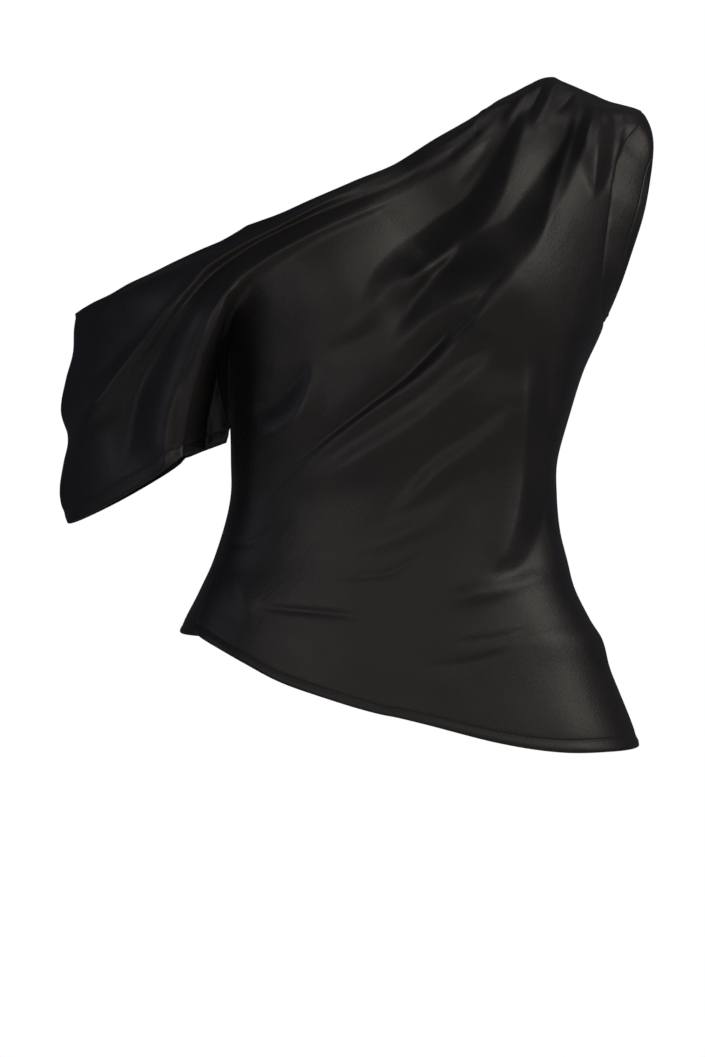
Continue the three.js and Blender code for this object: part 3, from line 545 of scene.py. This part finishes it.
# Joins grids into one net. Each grid holds its points, whether its faces are turned, and its
# distances from hem, neckline, seams and shoulder. Points that agree to 1 / weldPerMm are one.
def weld(grids, weldPerMm=200):
    points = np.concatenate([g["points"].reshape(-1, 3) for g in grids])
    keys = np.round(points * weldPerMm).astype(np.int64)
    _, first, inverse = np.unique(keys, axis=0, return_index=True, return_inverse=True)
    inverse = inverse.reshape(-1)
    quads, start = [], 0
    for g in grids:
        rows, columns = g["points"].shape[:2]
        ids = inverse[start : start + rows * columns].reshape(rows, columns)
        g["ids"] = ids
        quad = np.stack([ids[:-1, :-1], ids[:-1, 1:], ids[1:, 1:], ids[1:, :-1]], -1).reshape(-1, 4)
        quads.append(quad[:, ::-1] if g["turned"] else quad)
        start += rows * columns
    net = dict(points=points[first], quads=np.concatenate(quads))
    for name in ("hem", "neck", "seam", "shoulder"):
        values = [g.get(name, farAway(g["points"])).reshape(-1) for g in grids]
        net[name] = np.full(len(first), farOff)
        np.minimum.at(net[name], inverse, np.concatenate(values))
    return net


def netNormals(net):
    points, quads = net["points"], net["quads"]
    a, b, c, d = (points[quads[:, k]] for k in range(4))
    face = np.cross(c - a, d - b)
    normals = np.zeros_like(points)
    for k in range(4):
        np.add.at(normals, quads[:, k], face)
    return unit(normals)


# Evens out the net's points by their neighbours' means, each point by its weight.
def relax(points, quads, weight, rounds):
    pairs = np.concatenate([quads[:, [k, (k + 1) % 4]] for k in range(4)])
    pairs = np.unique(np.sort(pairs, 1), axis=0)
    pairs = np.concatenate([pairs, pairs[:, ::-1]])
    here, there = pairs[pairs[:, 0] != pairs[:, 1]].T
    valence = np.maximum(np.bincount(here, minlength=len(points)), 1)
    for _ in range(rounds):
        mean = np.stack([np.bincount(here, points[there, k], len(points)) for k in range(3)], -1)
        points = points + (mean / valence[:, None] - points) * weight[:, None]
    return points


def distanceTo(points, line):
    squared = [((points - place) ** 2).sum(1) for place in line]
    return np.sqrt(np.min(squared, axis=0))


easing = dict(
    jointWide=26.0, rounds=140, strength=0.9, edgeFade=12, foldFree=2, foldFade=9, foldWide=14,
    foldRounds=7, growth=1.5, hemFade=5, hemShare=0.3,
)


# Lets the cloth run smoothly from the body into the sleeve and over the sleeve's outer face, and
# rounds the sleeve's fold edge, more and more towards its hem.
def easeSleeve(net, jointTop, foldEdge):
    points, quads = net["points"], net["quads"]
    toEdge = np.minimum(net["hem"], np.minimum(net["neck"], net["seam"]))
    toFold = distanceTo(points, foldEdge)
    onSleeve = points[:, 0] < jointTop[:, 0].min()
    toJoint = distanceTo(points, jointTop)
    weight = np.maximum(within(toJoint, easing["jointWide"]), onSleeve * net["outerFace"])
    weight *= np.clip(toEdge / easing["edgeFade"], 0, 1)
    weight *= np.clip((toFold - easing["foldFree"]) / easing["foldFade"], 0, 1)
    points = relax(points, quads, weight * easing["strength"], easing["rounds"])
    nearest = np.argmin([((points - place) ** 2).sum(1) for place in foldEdge], axis=0)
    weight = within(toFold, easing["foldWide"])
    weight *= (nearest / (len(foldEdge) - 1)) ** easing["growth"]
    weight *= np.clip(toEdge / easing["hemFade"] + easing["hemShare"], 0, 1)
    net["points"] = relax(points, quads, weight * easing["strength"], easing["foldRounds"])


# How the cloth takes its folds: toFront and toTop say how much by the way a face looks, sideways
# how much of it goes across. The neckline sinks in most between sinkStart and sinkEnd.
dressing = dict(
    toFront=1.6, toTop=0.6, sideways=0.25, seamCalm=0.85, calmWide=9, neckSink=11.0, neckWide=9.0,
    sinkStart=-268, sinkGrow=70, sinkEnd=140, sinkFade=60, sinkLeast=0.3, shoulderPuff=3.4,
    shoulderWide=12.0, hemRoll=0.7, hemDip=0.35, hemDipWide=2.2, neckRoll=0.6, rollWide=3,
    hemRollAt=3.5, neckRollAt=2.5, seamDip=0.4, seamWide=1.8,
)
bustEase = dict(x=79, z=155, reach=62, depth=15)  # the deep folds lie on a flatter bust
finish = dict(wall=0.9, hemWall=1.7, hemWidth=10.0, neckMore=4, wallFade=2.5, rimRound=0.4)


# Gives a plain net its folds, rolled hems and sunken seams.
def dressNet(net, folds):
    d, normals = dressing, netNormals(net)
    x, z = net["points"][:, 0], net["points"][:, 2]
    facing = d["toFront"] * np.abs(normals[:, 1]) + d["toTop"] * np.maximum(0, normals[:, 2])
    height = foldHeights(x, z, folds) * np.minimum(1, facing)
    sink = d["neckSink"] * within(net["neck"], d["neckWide"])
    sink *= np.clip((x - d["sinkStart"]) / d["sinkGrow"], 0, 1)
    height -= sink * np.clip((d["sinkEnd"] - x) / d["sinkFade"], d["sinkLeast"], 1)
    outward = np.sign(normals[:, 1].mean())
    if outward < 0:  # the front
        squared = (x - bustEase["x"]) ** 2 + (z - bustEase["z"]) ** 2
        height -= bustEase["depth"] * np.exp(-squared / bustEase["reach"] ** 2)
    forward = normals * d["sideways"]
    forward[:, 1] = outward * np.sqrt(np.abs(normals[:, 1]))
    puff = softWaves(net["points"]) * (1 - d["seamCalm"] * within(net["seam"], d["calmWide"]))
    puff += d["shoulderPuff"] * within(net["shoulder"], d["shoulderWide"])
    net["points"] = net["points"] + forward * height[:, None] + normals * puff[:, None]
    roll = d["hemRoll"] * within(net["hem"] - d["hemRollAt"], d["rollWide"])
    roll -= d["hemDip"] * within(net["hem"] - finish["hemWidth"], d["hemDipWide"])
    roll += d["neckRoll"] * within(net["neck"] - d["neckRollAt"], d["rollWide"])
    roll -= d["seamDip"] * within(net["seam"], d["seamWide"])
    net["points"] = net["points"] + netNormals(net) * roll[:, None]
    net["normals"] = netNormals(net)


# The net's open edges, as pairs of points with the cloth on their left.
def boundaryOf(quads, count):
    starts = quads.reshape(-1)
    ends = np.roll(quads, -1, axis=1).reshape(-1)
    real = starts != ends
    starts, ends = starts[real], ends[real]
    forward, backward = starts * count + ends, ends * count + starts
    alone = ~np.isin(forward, backward)
    return starts[alone], ends[alone]


# A piece of the garment from points in millimetres. All of it is on the one body.
def newPiece(name, points, faces, material):
    mesh = bpy.data.meshes.new(name)
    mesh.from_pydata(toPart(points).tolist(), [], faces)
    mesh.validate()
    mesh.shade_smooth()
    mesh.materials.append(material)
    piece = bpy.data.objects.new(name, mesh)
    bpy.context.scene.collection.objects.link(piece)
    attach(piece, "root")
    return piece


# A closed thin shell: an outer and an inner face, joined by a rounded rim at the open edges.
def clothPiece(name, net, material):
    points, quads, normals = net["points"], net["quads"], net["normals"]
    count = len(points)
    near = np.minimum(net["hem"], net["neck"] + finish["neckMore"])
    share = np.clip((finish["hemWidth"] + 1 - near) / finish["wallFade"], 0, 1)
    wall = finish["wall"] + (finish["hemWall"] - finish["wall"]) * share**2 * (3 - 2 * share)
    outer = points + normals * finish["wall"] / 2
    inner = outer - normals * wall[:, None]
    starts, ends = boundaryOf(quads, count)
    away = np.cross(points[ends] - points[starts], normals[starts])
    outward = np.zeros_like(points)
    np.add.at(outward, starts, away)
    np.add.at(outward, ends, away)
    edge = np.unique(np.concatenate([starts, ends]))
    reach = unit(outward[edge]) * wall[edge, None] * finish["rimRound"]
    rim = (outer[edge] + inner[edge]) / 2 + reach
    rimOf = np.full(count, -1)
    rimOf[edge] = 2 * count + np.arange(len(edge))
    faces = np.concatenate([
        quads, quads[:, ::-1] + count,
        np.stack([ends, starts, rimOf[starts], rimOf[ends]], -1),
        np.stack([rimOf[ends], rimOf[starts], starts + count, ends + count], -1),
    ])
    piece = newPiece(name, np.concatenate([outer, inner, rim]), faces.tolist(), material)
    toHem = np.concatenate([net["hem"], net["hem"], net["hem"][edge]]) / mmPerMetre
    data = piece.data.attributes.new("hemDistance", "FLOAT", "POINT")
    data.data.foreach_set("value", np.minimum(toHem, 1).astype(np.float32))
    return piece


# Front or back of the body with its half of the draped sleeve, as they are cut in one.
def panelWithSleeve(side):
    points, rows, columns = panelGrid(side)
    pinchRow = cut["sideRows"] + cut["jointLowRows"]
    isLow = (rows >= cut["sideRows"] - tiny) & (rows <= pinchRow + tiny)
    jointLow, jointTop = points[isLow, 0], points[rows >= pinchRow - tiny, 0]
    neck, seam = farAway(points), farAway(points)
    isNeck = columns <= cut["neckColumns"][side] + tiny
    fromTop = gridLengths(points, 0, True)
    neck[:, isNeck] = fromTop[:, isNeck]
    seam[:, ~isNeck] = fromTop[:, ~isNeck]
    shoulder = distanceTo(points.reshape(-1, 3), points[-1, ~isNeck]).reshape(neck.shape)
    seam = np.minimum(seam, gridLengths(points, 1, True))
    onSide = rows <= cut["sideRows"] + tiny
    seam[onSide] = np.minimum(seam[onSide], gridLengths(points, 1)[onSide])
    bodyGrid = dict(points=points, turned=side == "back", hem=gridLengths(points, 0), neck=neck,
                    seam=seam, shoulder=shoulder)
    ribs, lines = sleeveHalfGrid(side, jointLow, jointTop)
    neck, seam = farAway(ribs), gridLengths(ribs, 1, True)
    onNeck = lines <= sleeve["neckRows"] + tiny
    fromEdge = gridLengths(ribs, 1)
    neck[onNeck] = fromEdge[onNeck]
    seam[~onNeck] = np.minimum(seam[~onNeck], fromEdge[~onNeck])
    sleeveGrid = dict(points=ribs, turned=side != "back", hem=gridLengths(ribs, 0, True),
                      neck=neck, seam=seam)
    net = weld([bodyGrid, sleeveGrid])
    faceColumns = len(jointTop) - 1
    net["outerFace"] = np.zeros(len(net["points"]))
    net["outerFace"][sleeveGrid["ids"][:, :faceColumns]] = 1
    easeSleeve(net, jointTop, ribs[:, faceColumns])
    armholeIds = bodyGrid["ids"][rows >= cut["farSideRows"] - tiny, -1]
    return net, (bodyGrid["ids"], sleeveGrid["ids"]), armholeIds


# The cap sleeve, from the armhole seam to its free edge, gathered at the top.
def capNet(frontArmhole, backArmhole):
    shares = np.linspace(1 / cut["armholeRows"], 1, cap["rows"] // 2)
    front, back = (smoothCurve(armhole, cap["perSpan"])(shares)
                   for armhole in (frontArmhole, backArmhole))
    seam = np.concatenate([front, back[::-1][1:]])
    edgeLine = cap["edge"] + [(x, 2 * cap["middle"] - y, z) for x, y, z in cap["edge"][-2::-1]]
    t = np.linspace(0, 1, len(seam))
    free = smoothCurve(edgeLine)(t)
    share = np.linspace(0, 1, cap["columns"] + 1)
    points = seam[:, None] + (free - seam)[:, None] * share[None, :, None]
    nearTop = within(t - 0.5, cap["reach"])[:, None]
    wave = np.cos(2 * np.pi * cap["gathers"] * t)[:, None] * cap["gatherHeight"]
    swing = t + cap["swing"] * np.sin(cap["swingTurns"] * t)
    fine = np.cos(2 * np.pi * cap["fineGathers"] * swing)[:, None] * cap["fineHeight"]
    fine = fine * (np.exp(-share * cap["fineFade"]) * (share > 0))[None]
    rise = ((cap["crown"] + wave) * np.sin(np.pi * share)[None] + fine) * nearTop
    points[..., 0] += rise * cap["rise"][0]
    points[..., 2] += rise * cap["rise"][1]
    net = weld([dict(points=points, turned=False, hem=gridLengths(points, 1, True),
                     seam=gridLengths(points, 1))])
    lift = softWaves(net["points"]) * cap["waveShare"]
    lift -= cap["seamDip"] * within(net["seam"], cap["seamWide"])
    net["points"] = net["points"] + netNormals(net) * lift[:, None]
    net["normals"] = netNormals(net)
    return net


def setInputs(node, inputs):
    for socket, value in inputs.items():
        node.inputs[socket].default_value = value


def addNode(tree, kind, at, inputs={}, **settings):
    node = tree.nodes.new("ShaderNode" + kind)
    node.location = at
    for name, value in settings.items():
        setattr(node, name, value)
    setInputs(node, inputs)
    return node


# Joins sockets. Each row is a node and its output, then a node and its input.
def wire(tree, *rows):
    for before, output, after, socket in rows:
        tree.links.new(before.outputs[output], after.inputs[socket])


def newGroup(name, inputs, outputs):
    group = bpy.data.node_groups.new(name, "ShaderNodeTree")
    for end, sockets in (("INPUT", inputs), ("OUTPUT", outputs)):
        for socket, value in sockets.items():
            kind = "NodeSocketFloat" if isinstance(value, float) else "NodeSocketColor"
            made = group.interface.new_socket(name=socket, in_out=end, socket_type=kind)
            made.default_value = value
    start, end = group.nodes.new("NodeGroupInput"), group.nodes.new("NodeGroupOutput")
    start.location, end.location = (-900, 0), (600, 0)
    return group, start, end


# Long floats of thread that lie slanting over the cloth, with a few thicker ones.
def satinWeaveGroup():
    group, start, end = newGroup(
        "satinWeave", {"Thread Scale": 900.0, "Slub Scale": 60.0, "Slub Amount": 0.5},
        {"Height": 0.0},
    )
    place = addNode(group, "TexCoord", (-1100, 300))
    slant = addNode(group, "Mapping", (-900, 300),
                    dict(Rotation=(0.0, -0.7, 0.0), Scale=(5.0, 1.0, 1.0)), vector_type="TEXTURE")
    threads = addNode(group, "TexNoise", (-650, 300), dict(Detail=2.0, Roughness=0.6))
    slubs = addNode(group, "TexNoise", (-650, 0),
                    dict(Detail=4.0, Roughness=0.65, Distortion=0.3))
    scaled = addNode(group, "Math", (-350, 0), operation="MULTIPLY")
    total = addNode(group, "Math", (-100, 200), operation="ADD")
    wire(group,
         (place, "Object", slant, "Vector"), (slant, "Vector", threads, "Vector"),
         (slant, "Vector", slubs, "Vector"), (start, "Thread Scale", threads, "Scale"),
         (start, "Slub Scale", slubs, "Scale"), (slubs, "Fac", scaled, 0),
         (start, "Slub Amount", scaled, 1), (threads, "Fac", total, 0), (scaled, 0, total, 1),
         (total, 0, end, "Height"))
    return group


# Slow change over the cloth, for colour and gloss, from dark to light.
def clothUnevennessGroup():
    group, start, end = newGroup(
        "clothUnevenness",
        {"Scale": 9.0, "Dark": (0, 0, 0, 1), "Light": (1, 1, 1, 1), "Smooth": 0.4, "Rough": 0.5},
        {"Colour": (0, 0, 0, 1), "Roughness": 0.5},
    )
    place = addNode(group, "TexCoord", (-900, 300))
    clouds = addNode(group, "TexNoise", (-650, 300),
                     dict(Detail=5.0, Roughness=0.6, Distortion=0.6))
    spread = addNode(group, "MapRange", (-400, 300), {"From Min": 0.3, "From Max": 0.7},
                     interpolation_type="SMOOTHSTEP")
    colour = addNode(group, "Mix", (-100, 200), data_type="RGBA")
    rough = addNode(group, "MapRange", (-100, -100))
    wire(group,
         (place, "Object", clouds, "Vector"), (start, "Scale", clouds, "Scale"),
         (clouds, "Fac", spread, "Value"), (spread, "Result", colour, "Factor"),
         (start, "Dark", colour, "A"), (start, "Light", colour, "B"),
         (spread, "Result", rough, "Value"), (start, "Smooth", rough, "To Min"),
         (start, "Rough", rough, "To Max"), (colour, "Result", end, "Colour"),
         (rough, "Result", end, "Roughness"))
    return group


weaveGroup = satinWeaveGroup()
unevenGroup = clothUnevennessGroup()


# A dark cloth or thread, uneven in colour and gloss.
def darkMaterial(name, values):
    material = bpy.data.materials.new(name)
    material.use_nodes = True
    tree = material.node_tree
    shader = tree.nodes["Principled BSDF"]
    uneven = addNode(tree, "Group", (-700, 300), values["uneven"], node_tree=unevenGroup)
    wire(tree, (uneven, "Colour", shader, "Base Color"),
         (uneven, "Roughness", shader, "Roughness"))
    return material, tree, shader


# each part's values by the names of its sockets. hemLine is how far up the hem's groove is.
satin = dict(
    uneven=dict(Scale=11.0, Dark=(0.006, 0.0056, 0.0058, 1), Light=(0.0092, 0.0082, 0.0074, 1),
                Smooth=0.44, Rough=0.5),
    gleam={"Sheen Weight": 0.03, "Sheen Roughness": 0.45, "IOR": 1.5, "Anisotropic": 0.3,
           "Anisotropic Rotation": 0.25},
    weave={"Thread Scale": 1500.0, "Slub Scale": 420.0, "Slub Amount": 2.0},
    wrinkles=dict(Scale=60.0, Detail=3.0, Roughness=0.5, Distortion=0.4),
    lie=dict(Rotation=(0.0, -0.65, 0.0), Scale=(3.0, 1.0, 1.0)),
    hemLine=0.0106, hemWide=0.0016, weaveBump=dict(Distance=0.0002, Strength=0.6),
    wrinkleBump=dict(Distance=0.0003, Strength=0.8), hemBump=dict(Distance=0.0004, Strength=1.0),
)


# Near-black satin with a warm gleam.
def blackSatin(name, values):
    material, tree, shader = darkMaterial(name, values)
    setInputs(shader, values["gleam"])
    weave = addNode(tree, "Group", (-900, -100), values["weave"], node_tree=weaveGroup)
    place = addNode(tree, "TexCoord", (-1300, -400))
    lie = addNode(tree, "Mapping", (-1100, -400), values["lie"], vector_type="TEXTURE")
    wrinkles = addNode(tree, "TexNoise", (-900, -400), values["wrinkles"])
    hem = addNode(tree, "Attribute", (-1300, -700), attribute_name="hemDistance")
    offLine = addNode(tree, "Math", (-1100, -700), {1: values["hemLine"]}, operation="SUBTRACT")
    away = addNode(tree, "Math", (-900, -700), operation="ABSOLUTE")
    groove = addNode(tree, "MapRange", (-700, -700),
                     {"From Min": 0.0, "From Max": values["hemWide"]},
                     interpolation_type="SMOOTHSTEP")
    bumps = [addNode(tree, "Bump", (-500, -100), values["weaveBump"]),
             addNode(tree, "Bump", (-300, -300), values["wrinkleBump"]),
             addNode(tree, "Bump", (-100, -500), values["hemBump"])]
    wire(tree,
         (place, "Object", lie, "Vector"), (lie, "Vector", wrinkles, "Vector"),
         (weave, "Height", bumps[0], "Height"), (wrinkles, "Fac", bumps[1], "Height"),
         (hem, "Fac", offLine, 0), (offLine, 0, away, 0), (away, 0, groove, "Value"),
         (groove, "Result", bumps[2], "Height"), (bumps[0], "Normal", bumps[1], "Normal"),
         (bumps[1], "Normal", bumps[2], "Normal"), (bumps[2], "Normal", shader, "Normal"))
    return material


thread = dict(uneven=dict(Scale=300.0, Dark=(0.012, 0.0115, 0.011, 1),
                          Light=(0.03, 0.028, 0.026, 1), Smooth=0.45, Rough=0.65))
satinMaterial = blackSatin("blackSatin", satin)
threadMaterial = darkMaterial("blackThread", thread)[0]
print("materials made")

pieces, nets, armholes = {}, {}, []
for side, folds in (("front", frontFolds), ("back", backFolds)):
    net, gridIds, armholeIds = panelWithSleeve(side)
    dressNet(net, folds)
    nets[side] = dict(net=net, gridIds=gridIds)
    armholes.append(net["points"][armholeIds])
    pieces[side] = clothPiece(side + "Panel", net, satinMaterial)
    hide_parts(side, "draped_sleeve")
    print(side, "panel made,", len(net["points"]), "points")

pieces["cap"] = clothPiece("capSleeve", capNet(*armholes), satinMaterial)
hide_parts("cap_sleeve")
print("cap sleeve made")

# The hems' stitches: how far up the rows are, and a thread's form, with the profile as places along
# it and its thickness there.
stitches = dict(
    rows=(8.8, 11.0), length=2.3, pitch=3.1, radius=0.26, sides=6, halfStep=0.5, lift=0.15,
    arch=0.8, profile=[(-0.5, 0.25), (-0.38, 0.85), (0.0, 1.0), (0.38, 0.85), (0.5, 0.25)],
)


# The line on the cloth's outer face at a distance from the hem, with its normals.
def lineAtDistance(net, ids, distance):
    outer = net["points"] + net["normals"] * finish["wall"] / 2
    rows = []
    for line in ids.T:
        lengths = net["hem"][line]
        order = np.argsort(lengths)
        values = np.concatenate([outer[line], net["normals"][line]], 1)[order]
        rows.append(atPlaces(distance, lengths[order], values))
    return np.array(rows)


# Short raised threads, one after another, along a line of points with normals.
def stitchRow(line):
    pitch, sides, radius = stitches["pitch"], stitches["sides"], stitches["radius"]
    along = lengthAlong(line[:, :3])
    places = np.arange(pitch, along[-1] - pitch, pitch)
    step = stitches["halfStep"]
    behind, here, ahead = (atPlaces(places + off, along, line) for off in (-step, 0, step))
    middle, out = np.split(here[:, None, None], 2, axis=-1)
    heading, out = unit((ahead - behind)[:, None, None, :3]), unit(out)
    share, thick = np.array(stitches["profile"]).T[:, :, None, None]
    angle = 2 * math.pi * np.arange(sides)[:, None] / sides
    lift = (stitches["lift"] - stitches["arch"] * np.abs(share)) * radius
    ring = out * np.cos(angle) + np.cross(heading, out) * np.sin(angle)
    points = middle + heading * share * stitches["length"] + out * lift + ring * radius * thick
    ids = np.arange(points[..., 0].size).reshape(points.shape[:3])
    turned = np.roll(ids, -1, axis=2)
    walls = np.stack([ids[:, :-1], turned[:, :-1], turned[:, 1:], ids[:, 1:]], -1).reshape(-1, 4)
    ends = np.concatenate([ids[:, 0, ::-1], ids[:, -1]])
    return points.reshape(-1, 3), walls, ends


def stitchPiece(name, net, ids):
    points, faces, count = [], [], 0
    for distance in stitches["rows"]:
        more, walls, ends = stitchRow(lineAtDistance(net, ids, distance))
        points.append(more)
        faces += (walls + count).tolist() + (ends + count).tolist()
        count += len(more)
    return newPiece(name, np.concatenate(points), faces, threadMaterial)


for side, parts in nets.items():
    [stitchPiece(side + part + "Stitches", parts["net"], ids)
                     for part, ids in zip(("Hem", "Sleeve"), parts["gridIds"])]
print("hems stitched")

# the floor, and the light that comes from all round
studio = dict(
    floorDrop=1.35, floorRadius=1.5,
    floor={"Base Color": (0.86, 0.86, 0.85, 1), "Roughness": 0.8},
    fill=dict(Color=(0.74, 0.72, 1.0, 1), Strength=0.06),
    backdrop=dict(Color=(1, 1, 1, 1), Strength=1.0),
)
scene = bpy.context.scene
scene.view_settings.view_transform = "Standard"

bpy.ops.mesh.primitive_circle_add(vertices=96, radius=studio["floorRadius"], fill_type="NGON",
                                  location=(lookAt[0], 0, -studio["floorDrop"]))
floor = bpy.context.object
floor.name = "paleFloor"
floorMaterial = bpy.data.materials.new("paleFloor")
floorMaterial.use_nodes = True
setInputs(floorMaterial.node_tree.nodes["Principled BSDF"], studio["floor"])
floor.data.materials.append(floorMaterial)

world = bpy.data.worlds.new("paleStudio")
scene.world = world
world.use_nodes = True
tree = world.node_tree
backdrop = tree.nodes["Background"]
setInputs(backdrop, studio["backdrop"])
fill = addNode(tree, "Background", (-200, -200), studio["fill"])
rays = addNode(tree, "LightPath", (-400, 300))
mixer = addNode(tree, "MixShader", (200, 0))
wire(tree, (rays, "Is Camera Ray", mixer, "Fac"), (fill, 0, mixer, 1), (backdrop, 0, mixer, 2),
     (mixer, 0, tree.nodes["World Output"], "Surface"))

# each soft light's place beside the garment's middle and its size in metres, watts and colour
lights = dict(
    rightSoftbox=dict(at=(1.25, -2.0, 0.8), size=(1.4, 1.6), watts=8, colour=(1.0, 0.91, 0.79)),
    frontSoftbox=dict(at=(0.1, -2.8, 0.5), size=(1.0, 1.4), watts=3, colour=(1.0, 0.93, 0.84)),
    leftSoftbox=dict(at=(-0.9, -2.5, 0.2), size=(1.1, 1.5), watts=8, colour=(1.0, 0.93, 0.87)),
    sideSoftbox=dict(at=(2.3, -1.0, 1.0), size=(1.2, 1.2), watts=19, colour=(1.0, 0.93, 0.84)),
    topSoftbox=dict(at=(0.9, -0.2, 2.3), size=(0.9, 0.9), watts=6, colour=(1.0, 0.94, 0.88)),
    coolFill=dict(at=(-2.5, -0.7, 0.5), size=(1.0, 1.6), watts=4.5, colour=(0.84, 0.82, 1.0)),
)
for name, values in lights.items():
    lamp = bpy.data.lights.new(name, "AREA")
    lamp.shape = "RECTANGLE"
    lamp.size, lamp.size_y = values["size"]
    lamp.energy = values["watts"]
    lamp.color = values["colour"]
    holder = bpy.data.objects.new(name, lamp)
    holder.location = Vector(lookAt) + Vector(values["at"])
    holder.rotation_euler = (-Vector(values["at"])).to_track_quat("-Z", "Y").to_euler()
    scene.collection.objects.link(holder)
print("studio lit")
